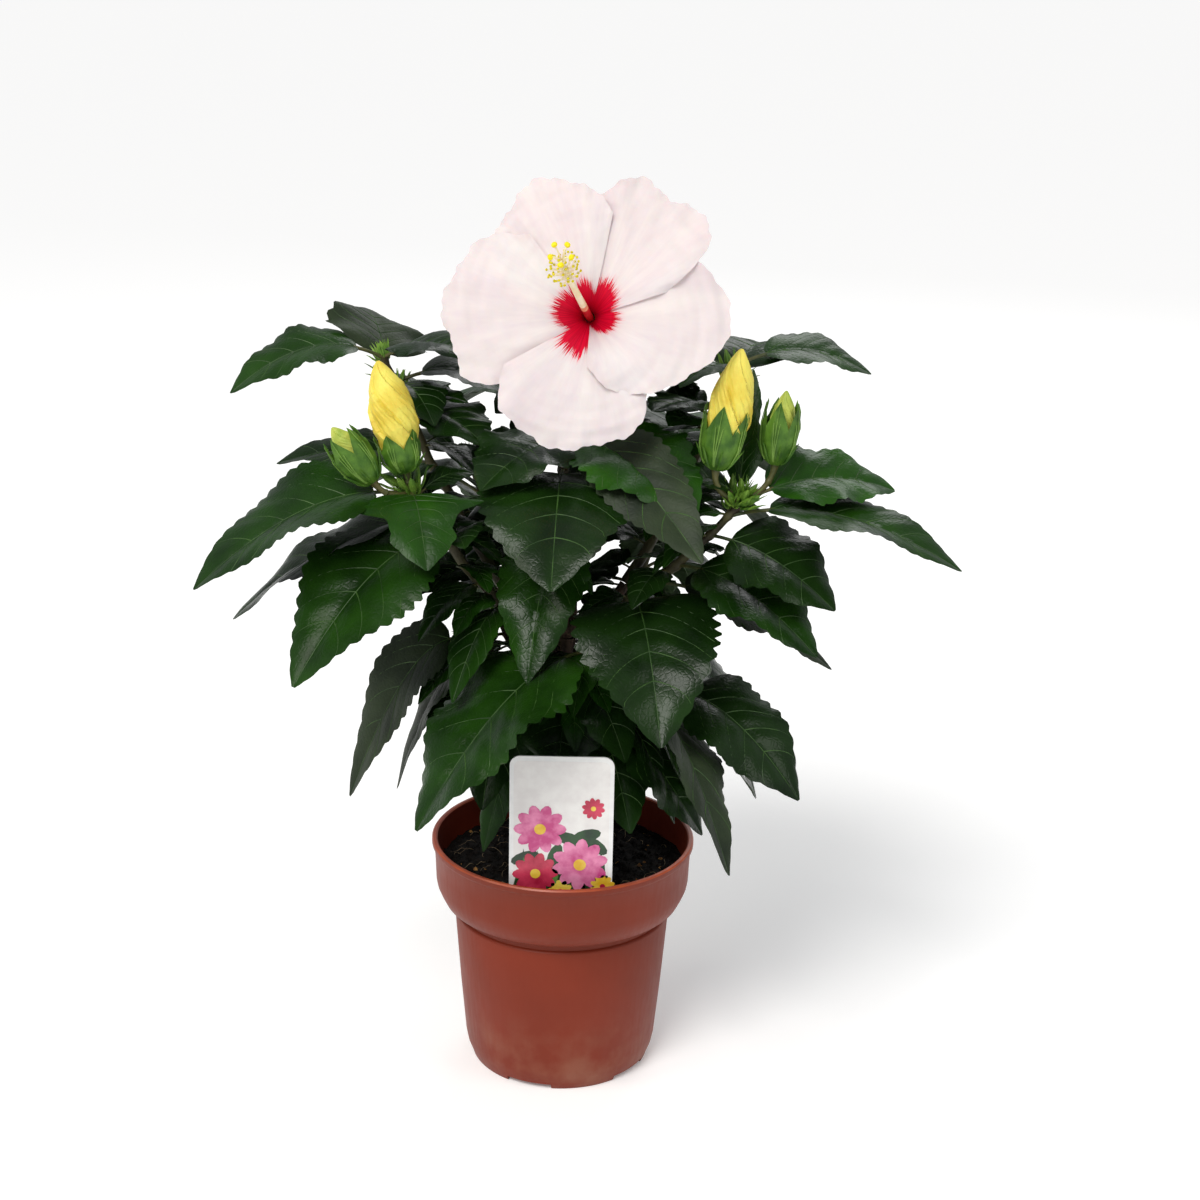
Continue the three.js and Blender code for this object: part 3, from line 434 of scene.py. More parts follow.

# Leaves: place along the stem, heading, spread, drop, width, roll, arch and tone; the brightened grown tone
# is painted light.
BRANCHES = [
    {"name": "left", "bough": True, "radius": 3.6, "extra": 4,
     "path": [[0, 0, 210], [-45, -12, 250], [-74, -24, 302]],
     "leaves": [
         [0.96, -74, 102, 40, 62, -12, 0.14, "mid"],
         [0.84, -100, 98, 58, 48, -8, 0.1, "dark"],
         [0.74, -46, 88, 54, 66, -14, 0.16, "mid"],
         [0.97, 14, 46, 24, 46, 0, 0.16, "young"],
     ]},
    {"name": "left_back", "bough": True, "radius": 3.4, "extra": 6,
     "path": [[0, 0, 203], [-50, 18, 260], [-90, 32, 350]],
     "leaves": [
         [1.0, -72, 74, 14, 42, -10, 0.18, "mid"],
         [0.96, -162, 50, -22, 54, 20, 0.1, "grey"],
         [0.86, 48, 54, 8, 46, 0, 0.12, "dark"],
         [1.0, 62, 54, -6, 52, 0, 0.14, "dark"],
         [0.7, -95, 78, 2, 34, -10, 0.1, "dark"],
     ]},
    {"name": "leader", "bough": True, "radius": 3.8, "extra": 5,
     "path": [[0, 0, 222], [-12, 2, 285], [6, 8, 345]],
     "leaves": [
         [0.66, -2, 84, 34, 74, 0, 0.14, "dark"],
         [0.84, 38, 98, 44, 40, 30, 0.07, "grey"],
         [0.79, 50, 78, 22, 62, 8, 0.1, "painted_lit"],
         [0.36, -12, 58, 50, 44, 0, 0.22, "mid"],
         [0.76, -42, 58, 12, 50, -6, 0.12, "dark"],
         [0.5, -82, 50, 14, 46, -6, 0.14, "dark"],
         [0.55, 78, 52, 14, 48, 8, 0.12, "dark"],
     ]},
    {"name": "right", "bough": True, "radius": 3.6, "extra": 4,
     "path": [[0, 0, 225], [40, -10, 245], [84, -14, 298]],
     "leaves": [
         [0.97, 104, 76, -2, 50, 14, 0.12, "painted_lit"],
         [0.9, 78, 110, 18, 48, 6, 0.12, "mid"],
         [0.8, 66, 64, 28, 56, 18, 0.1, "dark"],
         [0.62, 60, 76, 32, 54, 12, 0.12, "mid"],
         [0.5, 92, 88, 44, 44, 14, 0.1, "grey"],
         [0.38, 10, 80, 46, 68, 6, 0.18, "dark"],
         [0.94, 166, 31, -60, 18, 0, 0, "young"],
     ]},
    {"name": "right_back", "bough": True, "radius": 3.4, "extra": 6,
     "path": [[0, 0, 206], [45, 22, 262], [82, 38, 350]],
     "leaves": [
         [1.0, 96, 64, 6, 40, 8, 0.14, "mid"],
         [0.94, 160, 54, -10, 50, 0, 0.14, "dark"],
         [0.86, -38, 54, -10, 36, 0, 0.1, "dark"],
     ]},
    {"name": "back", "bough": True, "radius": 3.4, "extra": 8,
     "path": [[0, 0, 198], [6, 45, 250], [-4, 76, 325]],
     "leaves": [
         [0.5, -80, 66, 20, 34, -6, 0.16, "dark"],
         [0.62, 94, 70, 12, 50, 6, 0.16, "dark"],
         [0.75, -60, 56, -10, 46, 0, 0.16, "dark"],
         [0.8, 52, 60, -8, 48, 0, 0.16, "dark"],
     ]},
    {"name": "back_left", "bough": True, "radius": 3.2, "extra": 8,
     "path": [[0, 0, 190], [-26, 38, 232], [-52, 84, 288]], "leaves": []},
    {"name": "back_right", "bough": True, "radius": 3.2, "extra": 8,
     "path": [[0, 0, 186], [32, 36, 228], [58, 84, 282]], "leaves": []},
    {"name": "low_front", "bough": False, "radius": 2.4, "extra": 0,
     "path": [[0, 0, 196], [4, -14, 210], [14, -27, 226]],
     "leaves": [
         [0.95, -52, 100, 68, 80, 4, 0.16, "mid"],
         [0.4, 40, 40, 34, 42, 0, 0.2, "dark"],
         [0.25, -8, 34, 38, 52, 0, 0.12, "dark"],
     ]},
    {"name": "low_left", "bough": False, "radius": 2.4, "extra": 3,
     "path": [[0, 0, 188], [-20, -2, 205], [-45, -6, 220]],
     "leaves": [
         [1.0, -84, 60, 80, 44, -24, 0.26, "grey"],
         [0.84, -96, 46, 76, 38, -20, 0.24, "grey"],
         [0.6, -70, 44, 40, 40, -10, 0.18, "dark"],
     ]},
    {"name": "low_right", "bough": False, "radius": 2.4, "extra": 3,
     "path": [[0, 0, 174], [22, -8, 190], [48, -20, 203]],
     "leaves": [
         [1.0, 66, 70, 44, 56, 10, 0.16, "dark"],
         [0.8, 26, 90, 56, 40, -30, 0.16, "grey"],
         [0.7, 98, 62, 52, 44, 0, 0.16, "dark"],
         [0.5, 64, 50, 57, 50, 0, 0.04, "dark"],
         [0.35, 26, 39, 48, 38, 0, 0.1, "dark"],
     ]},
    {"name": "low_back_left", "bough": False, "radius": 2.4, "extra": 6,
     "path": [[0, 0, 168], [-18, 16, 190], [-34, 44, 214]],
     "leaves": [
         [0.9, -62, 48, 46, 46, 0, 0.2, "dark"],
         [0.6, -32, 50, 42, 44, 0, 0.18, "dark"],
         [0.75, -12, 62, 60, 48, 0, 0.14, "dark"],
     ]},
    {"name": "low_back_right", "bough": False, "radius": 2.4, "extra": 6,
     "path": [[0, 0, 180], [20, 16, 196], [42, 46, 220]],
     "leaves": [
         [0.95, 76, 60, 92, 56, 0, 0.2, "dark"],
         [0.7, 0, 33, 38, 30, 0, 0.2, "dark"],
     ]},
]

# Buds: foot of the calyx, tip of the bud, widest radius of corolla and calyx, and calyx length.
BUDS = [
    {"name": "left_yellow", "branch": "left", "foot": [-74, -27, 309], "tip": [-87, -22, 360],
     "corolla": 10.6, "calyx": 8.8, "sleeve": 20},
    {"name": "left_green", "branch": "left", "foot": [-88, -34, 306], "tip": [-107, -32, 331],
     "corolla": 6.4, "calyx": 8.4, "sleeve": 28},
    {"name": "right_yellow", "branch": "right", "foot": [68, -22, 312], "tip": [78, -17, 368],
     "corolla": 10, "calyx": 9.4, "sleeve": 31},
    {"name": "right_small", "branch": "right", "foot": [96, -10, 312], "tip": [100, -8, 347],
     "corolla": 6, "calyx": 8.2, "sleeve": 31},
]
print(len(BRANCHES), "branches and", len(BUDS), "buds")


# %% [markdown]
# The curve of a stem or a leaf is a quadratic one, so a point and a direction on it take one line
# each. A leaf's path starts at its node on the stem, rises by its arch and falls to its tip.

# %% Curves and the leaf rule
GOLDEN_ANGLE = 137.5
PETIOLE_SHARE = 0.18
BLADE_SHOULDER = 0.55
BLADE_POINT = 0.9
TOOTH_DEPTH = 0.07
RULE_SPREAD = (58, 92)
RULE_DROP = (58, 4)
RULE_DROP_VARIES = 12
RULE_SLENDERNESS = (0.5, 0.62)
RULE_ROLL = 12
RULE_OVAL_HEIGHT = 250
RULE_OVAL_HALF = (118, 112)
RULE_STEM_FROM = 0.4
SAMPLE_ROWS = 8
SAMPLE_COLUMNS = 3
LEAF_CLEARANCE = 6
LIMB_CLEARANCE = 8
BACK_LEAVES_FROM = 5
TRIES = 90
LEAF_SEED = 41
RULE_ARCH = 0.2


def unit(vectors):
    vectors = np.asarray(vectors, float)
    return vectors / np.linalg.norm(vectors, axis=-1, keepdims=True)


def curve_at(path, t):
    a, b, c = np.asarray(path, float)
    t = np.asarray(t, float)[..., None]
    return a * (1 - t) ** 2 + b * (2 * (1 - t) * t) + c * t * t


def curve_direction(path, t):
    a, b, c = np.asarray(path, float)
    t = np.asarray(t, float)[..., None]
    return unit((b - a) * (1 - t) + (c - b) * t)


def seeded(seed):
    """The frame's own row of numbers from 0 to 1."""
    state = seed
    while True:
        state = (state * 1664525 + 1013904223) % 4294967296
        yield state / 4294967296


def leaf_path(branch, leaf):
    place, heading, spread, drop = leaf[:4]
    node = curve_at(branch["path"], place)
    turn = math.radians(heading)
    tip = node + [math.sin(turn) * spread, -math.cos(turn) * spread, -drop]
    middle = mix(node, tip, 0.45)
    middle[2] += np.linalg.norm(tip - node) * leaf[6] * 2
    return np.array([node, middle, tip])


def blade_frame(path, t, roll):
    """Across and up out of the blade's face, at places on the leaf's curve."""
    along = curve_direction(path, t)
    chord = unit((path[2] - path[0]) * [1, 1, 0])
    up = unit(np.cross(along, [-chord[1], chord[0], 0]))
    side = unit(np.cross(up, along))
    turn = np.radians(np.asarray(roll, float))[..., None]
    return side * np.cos(turn) + up * np.sin(turn), up * np.cos(turn) - side * np.sin(turn)


def blade_outline(share):
    """Half the blade's width as a share of its widest: full near the base and drawn out to a point."""
    widest = BLADE_SHOULDER / (BLADE_SHOULDER + BLADE_POINT)
    most = widest ** BLADE_SHOULDER * (1 - widest) ** BLADE_POINT
    return share ** BLADE_SHOULDER * (1 - share) ** BLADE_POINT / most


def limb_samples(path, step, start=0.0, end=1.0):
    places = []
    t = start
    while t < end + step / 2:
        places.append(t)
        t += step
    return curve_at(path, places)


def leaf_samples(path, width, roll):
    samples = [limb_samples(path, 0.04, 0.12, PETIOLE_SHARE)]
    for row in range(SAMPLE_ROWS + 1):
        share = mix(0.06, 1, row / SAMPLE_ROWS)
        t = mix(PETIOLE_SHARE, 1, share)
        side, _ = blade_frame(path, t, roll)
        reach = (width / 2) * blade_outline(share) * (1 + TOOTH_DEPTH)
        places = np.arange(-SAMPLE_COLUMNS, SAMPLE_COLUMNS + 1) / SAMPLE_COLUMNS
        samples.append(curve_at(path, t) + side * reach * places[:, None])
    return np.concatenate(samples)


def keeps_clear(samples, taken, distance):
    """Whether no sample comes within the distance of a taken point; only near points are compared."""
    middle = samples.mean(axis=0)
    reach = np.linalg.norm(samples - middle, axis=1).max() + distance
    near = taken[np.linalg.norm(taken - middle, axis=1) < reach]
    gaps = samples[:, None] - near[None]
    return bool((np.einsum("ijk,ijk->ij", gaps, gaps) > distance * distance).all())


def in_rule_space(tip):
    """A leaf of the rule ends behind the trunk and inside the crown's oval."""
    oval = math.hypot(tip[0] / RULE_OVAL_HALF[0], (tip[2] - RULE_OVAL_HEIGHT) / RULE_OVAL_HALF[1])
    return tip[1] > BACK_LEAVES_FROM and oval < 1


def plan_leaves():
    """All leaves of every branch, those listed first, then those of the rule."""
    numbers = seeded(LEAF_SEED)
    plan = {branch["name"]: list(branch["leaves"]) for branch in BRANCHES}
    limbs = {branch["name"]: limb_samples(branch["path"], 0.03, 0, 1.15) for branch in BRANCHES}
    limbs["trunk"] = limb_samples(TRUNK_PATH, 0.03)
    taken = [leaf_samples(leaf_path(b, leaf), leaf[4], leaf[5]) for b in BRANCHES for leaf in b["leaves"]]
    for bud in BUDS:
        limbs[bud["name"]] = limb_samples([bud["foot"], bud["foot"], bud["tip"]], 0.1)
    taken = np.concatenate(taken)
    for branch in BRANCHES:
        others = np.concatenate([points for name, points in limbs.items() if name != branch["name"]])
        heading = next(numbers) * 360
        added = 0
        for _ in range(TRIES):
            if added >= branch["extra"]:
                break
            heading += GOLDEN_ANGLE
            place = mix(RULE_STEM_FROM, 1, next(numbers))
            spread = mix(*RULE_SPREAD, next(numbers))
            drop = mix(*RULE_DROP, place) + mix(-RULE_DROP_VARIES, RULE_DROP_VARIES, next(numbers))
            width = spread * mix(*RULE_SLENDERNESS, next(numbers))
            roll = mix(-RULE_ROLL, RULE_ROLL, next(numbers))
            leaf = [place, heading, spread, drop, width, roll, RULE_ARCH, "rule"]
            path = leaf_path(branch, leaf)
            samples = leaf_samples(path, width, roll)
            if not in_rule_space(path[2]) or not keeps_clear(samples, taken, LEAF_CLEARANCE):
                continue
            if not keeps_clear(samples, others, LIMB_CLEARANCE):
                continue
            taken = np.concatenate([taken, samples])
            plan[branch["name"]].append(leaf)
            added += 1
    return plan, taken, limbs


PLAN, LEAF_POINTS, LIMB_POINTS = plan_leaves()
print("leaves on each branch:", {name: len(leaves) for name, leaves in PLAN.items()})

# %% [markdown]
# ## Growing one leaf
#
# A hibiscus blade is egg-shaped with a drawn-out tip, and saw-toothed past its first third. Its
# side veins leave the midrib at an angle and sweep forward, and the skin is puffed between them
# like a quilt. All of that is shape here: one function gives the point of the blade at a share of
# its length and a share of its half width, and the surface, the midrib and the side veins all ask
# it for their points, so they can't come apart.

# %% The blade's surface
BLADE_SKIN = 0.5
SIDE_VEINS = 5
VEIN_SHARE = 0.86
VEIN_SWEEP = 0.46
MARGIN_FROM = 0.7
FINE_FROM = 48
FINE_COLUMNS, COARSE_COLUMNS = 18, 12
TOOTH_PACE = 7
FEWEST_TEETH = 5
YOUNG_LOBE = 0.4
MIDRIB_HALF = (0.75, 0.2)
SIDE_VEIN_HALF = (0.34, 0.12)


class Leaf:
    """One leaf's measures, with the small differences that make no two alike."""

    def __init__(self, branch, leaf, tone, chance):
        self.path = leaf_path(branch, leaf)
        self.width = leaf[4]
        self.length = float(np.linalg.norm(self.path[2] - self.path[0]))
        self.roll = leaf[5]
        self.tone = tone
        self.lobe = YOUNG_LOBE if tone == "young" else 0.0
        self.twist = chance.uniform(-9, 9)
        self.fold = chance.uniform(0.22, 0.34)
        self.droop = chance.uniform(0.14, 0.26)
        self.teeth = max(FEWEST_TEETH, round(self.length / TOOTH_PACE))
        self.grid = (4 * self.teeth, FINE_COLUMNS if self.length > FINE_FROM else COARSE_COLUMNS)
        self.tooth_depth = chance.uniform(0.08, 0.12)
        self.quilt = 0.012 * self.width * chance.uniform(0.8, 1.2)
        self.waves = chance.uniform(1.6, 3.0)
        self.wave_height = chance.uniform(0.03, 0.055) * self.width
        self.phase = chance.uniform(0, 6.28, 2)

    def surface(self, share, across):
        """Points on top of the blade, and the direction out of its face."""
        side, up = blade_frame(self.path, mix(PETIOLE_SHARE, 1, share), self.roll + self.twist * share)
        lobes = np.exp(-((share - 0.34) / 0.1) ** 2) - 0.7 * np.exp(-((share - 0.58) / 0.12) ** 2)
        half = (self.width / 2) * blade_outline(share) * (1 + self.lobe * lobes)
        reach = np.abs(across)
        margin = np.clip((reach - MARGIN_FROM) / (1 - MARGIN_FROM), 0, 1)
        saw = (share * self.teeth + np.sign(across) * 0.1 + 0.5) % 1
        rounded = np.sin(np.pi * saw ** 1.5) - 0.6
        tooth = self.tooth_depth * rounded * margin ** 2 * np.clip((share - 0.1) * 5, 0, 1)
        swept = VEIN_SWEEP * reach ** 1.1
        order = (share - swept) / (1 - swept) * SIDE_VEINS / VEIN_SHARE
        puff = np.sin(np.pi * order) ** 2 * np.clip(reach * 5, 0, 1) * (1 - reach ** 3)
        wave = np.sin(share * self.waves * 6.28 + self.phase[(across > 0).astype(int)]) * reach ** 2
        lift = half * (self.fold * reach - self.droop * reach ** 2)
        lift = lift + self.quilt * puff * np.sin(np.pi * share)
        lift = lift + self.wave_height * wave * np.sin(np.pi * share)
        out = np.sign(across) * half * (reach + tooth)
        centre = curve_at(self.path, mix(PETIOLE_SHARE, 1, share))
        return centre + side * out[..., None] + up * lift[..., None], up


def add_blade(pile, leaf):
    """The blade of a leaf as a thin lens, with its midrib and side veins."""
    rows, columns = leaf.grid
    along = np.linspace(0.012, 0.992, rows)
    share, across = np.meshgrid(along, np.linspace(-1, 1, columns + 1), indexing="ij")
    top, up = leaf.surface(share, across)
    tone = TONE_ORDER.index(leaf.tone)
    add_lens(pile, top, top - up * BLADE_SKIN, tone, UNDER_FINISH)
    rib = np.linspace(0.0, 0.97, 18)
    line, up = leaf.surface(rib + 0.001, rib * 0)
    size = min(1, leaf.length / 80)
    add_ridge(pile, line, up, mix(*MIDRIB_HALF, rib) * size, 0.35, 1.2, VEIN_FINISH)
    for vein in range(SIDE_VEINS):
        root = vein * VEIN_SHARE / SIDE_VEINS + 0.004
        for hand in (-1, 1):
            reach = np.linspace(0.0, 0.93, 8)
            swept = VEIN_SWEEP * reach ** 1.1
            line, up = leaf.surface(root * (1 - swept) + swept, reach * hand)
            add_ridge(pile, line, up, mix(*SIDE_VEIN_HALF, reach) * size, 0.25, 0.7, VEIN_FINISH)


print("a blade has", 2 * SIDE_VEINS, "side veins")

# %% [markdown]
# ## Growing the masses
#
# Each mass of the frame is replaced by two pieces: its leaves, and its twigs with the leaf stalks.
# A stem swells at each node and ends in young growth. The rule is then carried one step finer:
# smaller leaves about half as long stand on thinner stalks, and these too are skipped where they
# would touch a leaf, a limb, a bud or the bloom, or stand in front of the tag.

# %% Stems, stalks and young shoots
SHOOT_SEED = 7
FINER_PER_BRANCH = 16
FINER_TRIES = 170
FINER_CLEARANCE = 2.2
FINER_SPREAD = (24, 54)
BOUGH_HANG = (-0.35, 0.8)
LOW_HANG = (0.4, 1.5)
FINER_REACH = 86
YOUNG_BELOW = 29
BLOOM_THROAT = np.array([10, -32, 384], float)
BLOOM_KEEP_OFF = 70
TAG_ROOM = (30, -44, 190)
STEM_SIDES = 14
NODE_SWELL = 0.55
SHOOT_END = (0.9, 0.985)
FLOWERING_BUDS, SHOOT_BUDS = 12, 6
FLOWERING_LEAN = np.array([-0.3, -0.3, 0.9])
YOUNG_BUD_LENGTH = (10, 18)
YOUNG_BUD_STALK = 0.3
YOUNG_BUD_WIDTH = 0.17
# How a bract bows: its reach in radii of the bud, and its rise as a share of the bud's length.
BRACTS = 6
BRACT_BOW = [(0.1, -0.02), (1.4, 0.14), (2.0, 0.45), (2.2, 0.75), (2.7, 1.0)]
RULE_TONES = {"dark": 0.5, "mid": 0.38, "grey": 0.12}
FINER_TONES = {"dark": 0.65, "mid": 0.35}
FINER_STALK = 0.65


def curve_length(path):
    a, b, c = np.asarray(path, float)
    return float(np.linalg.norm(b - a) + np.linalg.norm(c - b))


def stem_start(branch):
    return BOUGH_SHARE + 1.2 * GAP / curve_length(branch["path"]) if branch["bough"] else 0.0


def add_stem(pile, branch, leaves, chance):
    """The mass's stem, swollen at each node and slightly zigzag between them."""
    places = np.linspace(stem_start(branch), 1, 70)
    line = curve_at(branch["path"], places)
    _, side, up = carried_frames(line)
    sway = 0.5 * np.sin(places * 31 + chance.uniform(0, 6))
    ends = np.sin(np.pi * (places - places[0]) / (1 - places[0]))
    line = line + (side * sway[:, None] + up * sway[::-1, None]) * ends[:, None]
    radii = mix(branch["radius"], STEM_TIP_RADIUS, places)
    for leaf in leaves:
        radii = radii + NODE_SWELL * np.exp(-((places - leaf[0]) / 0.012) ** 2)
    angles = round_turn(STEM_SIDES)[None]
    rows = places[:, None]
    streaks = 1 + 0.035 * np.sin(5 * angles + 20 * rows) + 0.03 * np.sin(3 * angles - 33 * rows)
    finish = SHOOT_FINISH if branch["bough"] else BARK_FINISH
    add_tube(pile, line, radii[:, None] * streaks, STEM_SIDES, finish)


def add_stalk(pile, leaf, thickness=1.0):
    """The leaf's stalk, thicker at the stem and where it meets the blade."""
    places = np.linspace(0, PETIOLE_SHARE + 0.03, 12)
    line = curve_at(leaf.path, places)
    _, up = blade_frame(leaf.path, places, leaf.roll)
    share = places / places[-1]
    radii = thickness * (0.85 + 0.35 * np.exp(-share * 9) + 0.2 * share ** 6)
    add_tube(pile, line - up * 0.5 * share[:, None], radii, 8, STALK_FINISH)


def add_young_bud(pile, foot, direction, length):
    """A bud on a short stalk, ribbed and pointed, in the ring of bracts that bow out round it."""
    base = foot + direction * length * YOUNG_BUD_STALK
    stalk = mix(foot, base, np.linspace(0, 1.1, 4)[:, None])
    add_tube(pile, stalk, [0.7, 0.55, 0.55, 0.7], 6, STALK_FINISH)
    body = length * (1 - YOUNG_BUD_STALK)
    radius = body * YOUNG_BUD_WIDTH
    shares = np.linspace(0, 1, 10)
    swell = np.sin(np.pi * (shares * 0.94 + 0.04)) ** 0.8 * (1.1 - 0.3 * shares)
    ribs = 1 + 0.1 * np.cos(5 * round_turn(20))
    radii = radius * np.maximum(swell, 0.06)[:, None] * ribs
    add_tube(pile, base + direction * shares[:, None] * body, radii, 20, FRESH_FINISH)
    across = unit(np.cross(direction, [0.3, 0.9, 0.2]))
    other = np.cross(direction, across)
    for turn in round_turn(BRACTS):
        out = across * math.cos(turn) + other * math.sin(turn)
        line = [base + out * radius * bow + direction * body * rise for bow, rise in BRACT_BOW]
        add_tube(pile, line, [0.4, 0.5, 0.48, 0.32, 0.08], 5, FRESH_FINISH)


def add_shoot_tip(pile, branch, chance):
    """The young buds that end a shoot."""
    ahead = curve_direction(branch["path"], 1.0)
    flowering = branch["name"] in budded
    for _ in range(FLOWERING_BUDS if flowering else SHOOT_BUDS):
        foot = curve_at(branch["path"], chance.uniform(*SHOOT_END))
        lean = unit(ahead + chance.uniform(-1.1, 1.1, 3) + FLOWERING_LEAN * flowering)
        add_young_bud(pile, foot, lean, chance.uniform(*YOUNG_BUD_LENGTH))


def finer_leaves(branch, chance, taken, others):
    """Smaller leaves, set by the same golden angle and the same skipping."""
    leaves = []
    heading = chance.uniform(0, 360)
    for _ in range(FINER_TRIES):
        if len(leaves) >= FINER_PER_BRANCH:
            break
        heading += GOLDEN_ANGLE
        spread = chance.uniform(*FINER_SPREAD)
        drop = spread * chance.uniform(*(BOUGH_HANG if branch["bough"] else LOW_HANG))
        width = spread * chance.uniform(0.54, 0.7)
        leaf = [chance.uniform(0.3, 1), heading, spread, drop, width, chance.uniform(-15, 15), 0.16]
        path = leaf_path(branch, leaf)
        samples = leaf_samples(path, leaf[4], leaf[5])
        too_far = np.hypot(*(path[2][:2])) > FINER_REACH
        near_bloom = np.linalg.norm(samples - BLOOM_THROAT, axis=1).min() < BLOOM_KEEP_OFF
        by_tag = (np.abs(samples * [1, 0, 0]) + samples * [0, 1, 1] < TAG_ROOM).all(axis=1)
        if too_far or near_bloom or by_tag.any() or not keeps_clear(samples, taken, FINER_CLEARANCE):
            continue
        if not keeps_clear(samples, others, LIMB_CLEARANCE - 4):
            continue
        taken = np.concatenate([taken, samples])
        leaves.append(leaf)
    return leaves, taken


def chosen(tones):
    """One of the tones, by the share of the leaves that each has."""
    return str(chance.choice(list(tones), p=list(tones.values())))


def add_leaf(leaves, twigs, branch, row, tone, thickness=1.0):
    """A blade in one pile and its stalk in the other."""
    leaf = Leaf(branch, row, tone, chance)
    add_blade(leaves, leaf)
    add_stalk(twigs, leaf, thickness)


chance = np.random.default_rng(SHOOT_SEED)
budded = {bud["branch"] for bud in BUDS}
taken_points = LEAF_POINTS
for branch in BRANCHES:
    name = branch["name"]
    leaves, twigs = Pile(), Pile()
    others = np.concatenate([points for key, points in LIMB_POINTS.items() if key != name])
    add_stem(twigs, branch, PLAN[name], chance)
    for row in PLAN[name]:
        add_leaf(leaves, twigs, branch, row, chosen(RULE_TONES) if row[7] == "rule" else row[7])
    finer, taken_points = finer_leaves(branch, chance, taken_points, others)
    for row in finer:
        tone = "young" if row[2] < YOUNG_BELOW else chosen(FINER_TONES)
        add_leaf(leaves, twigs, branch, row, tone, FINER_STALK)
    print(name, "carries", len(PLAN[name]), "leaves and", len(finer), "finer ones")
    if name != "leader":
        add_shoot_tip(twigs, branch, chance)
    twigs.piece("twigs_" + name, WOOD_FINISHES, "foliage", ["foliage_" + name])
    leaves.piece("leaves_" + name, LEAF_FINISHES, "foliage", ["foliage_" + name])

# %% [markdown]
# ## Trunk and boughs
#
# Bark is relief, not a picture: shallow ridges along the limb, a ring where each old leaf was, and
# a flare where the trunk meets the compost. A tube whose radius changes with height and angle gives
# all three, so each limb is one tube with its own seeded pattern.

# %% Bark tubes
TRUNK_RADIUS = 5.4
FORK_RADIUS = 4
FLARE_RADIUS = 9
FLARE_HEIGHT = 9
BARK_SIDES = 32
BARK_RIDGES = (4, 7, 11, 15)
RIDGE_HEIGHT = 0.34
FIRST_SCAR, SCAR_PACE = 6, 11.0
SCAR_RING, SCAR_SWELL = 0.35, 0.8
BOUGH_CORE = 0.93


def add_limb(pile, path, places, radii, chance):
    """A limb with cracked bark and the rings of old leaves."""
    line = curve_at(path, places)
    lengths = np.concatenate([[0], np.cumsum(np.linalg.norm(np.diff(line, axis=0), axis=1))])[:, None]
    angles = round_turn(BARK_SIDES)[None]
    bark = np.zeros((len(places), BARK_SIDES))
    for ridges in BARK_RIDGES:
        drift = chance.uniform(-0.12, 0.12)
        wave = np.sin(ridges * angles + drift * lengths + chance.uniform(0, 6))
        patches = 0.6 + 0.4 * np.sin(lengths * 0.21 + ridges)
        bark += (RIDGE_HEIGHT / ridges ** 0.5) * (np.abs(wave) - 0.5) * patches
    for scar in np.arange(FIRST_SCAR, lengths[-1, 0], SCAR_PACE):
        away = lengths - (scar + chance.uniform(-2, 2))
        facing = np.clip(np.cos(angles - chance.uniform(0, 6.28)), 0, 1) ** 3
        bark += SCAR_RING * np.exp(-(away / 0.9) ** 2)
        bark += SCAR_SWELL * np.exp(-(away / 1.6) ** 2) * facing
    add_tube(pile, line, radii[:, None] + bark, BARK_SIDES, BARK_FINISH)


trunk_places = np.linspace(0, 1, 150)
trunk_line = curve_at(TRUNK_PATH, trunk_places)
heights = trunk_line[:, 2] - trunk_line[0, 2]
trunk_radii = mix(TRUNK_RADIUS, FORK_RADIUS, trunk_places)
trunk_radii = trunk_radii + (FLARE_RADIUS - TRUNK_RADIUS) * np.exp(-heights / (FLARE_HEIGHT / 2))
trunk = Pile()
add_limb(trunk, TRUNK_PATH, trunk_places, trunk_radii, chance)
trunk.piece("bark_trunk", WOOD_FINISHES, "bark", ["trunk"])
for branch in BRANCHES:
    if branch["bough"]:
        bough = Pile()
        places = np.linspace(0, BOUGH_SHARE, 60)
        radii = mix(branch["radius"], STEM_TIP_RADIUS, places)
        add_limb(bough, branch["path"], places, radii * BOUGH_CORE, chance)
        bough.piece("bark_" + branch["name"], WOOD_FINISHES, "bark", ["bough_" + branch["name"]])

# %% [markdown]
# ## The bloom
#
# Five petals leave a narrow funnel, each lying over the next one's edge like a pinwheel. A petal is
# thin tissue, pleated along its veins and ruffled at its margin, nearly white with a breath of
# pink, and crimson at its foot in a feathered blotch. The blotch belongs to the petal's own
# directions, so the petal carries a UV map: U runs across it and V is the distance from the
# throat. In the material the blotch's edge starts as a flat arc. A folded count across the petal
# draws it out in hairs, and a streaked noise sways them and pushes them in and out along the veins.

# %% Petal material
PETAL_UV = "petal"
UV_REACH = 100
EYE_RADIUS = 14.5
EYE_ROUNDING = 0.2
EYE_FEATHER = 8
EYE_HAIRS = 26
HAIR_LENGTH = 4.2
HAIR_SWAY = 0.16
# Thin wet tissue: hardly any gloss, and some light goes through it and comes out softened.
petal_tissue, tree, shader = new_material(
    "hibiscus_petal", Roughness=0.62, IOR=1.4, Specular_IOR_Level=0.25,
    Subsurface_Weight=0.12, Subsurface_Scale=0.004,
)
uv = add_node(tree, "ShaderNodeUVMap", {"uv_map": PETAL_UV})
axes = add_node(tree, "ShaderNodeSeparateXYZ", links={"Vector": uv.outputs["UV"]})


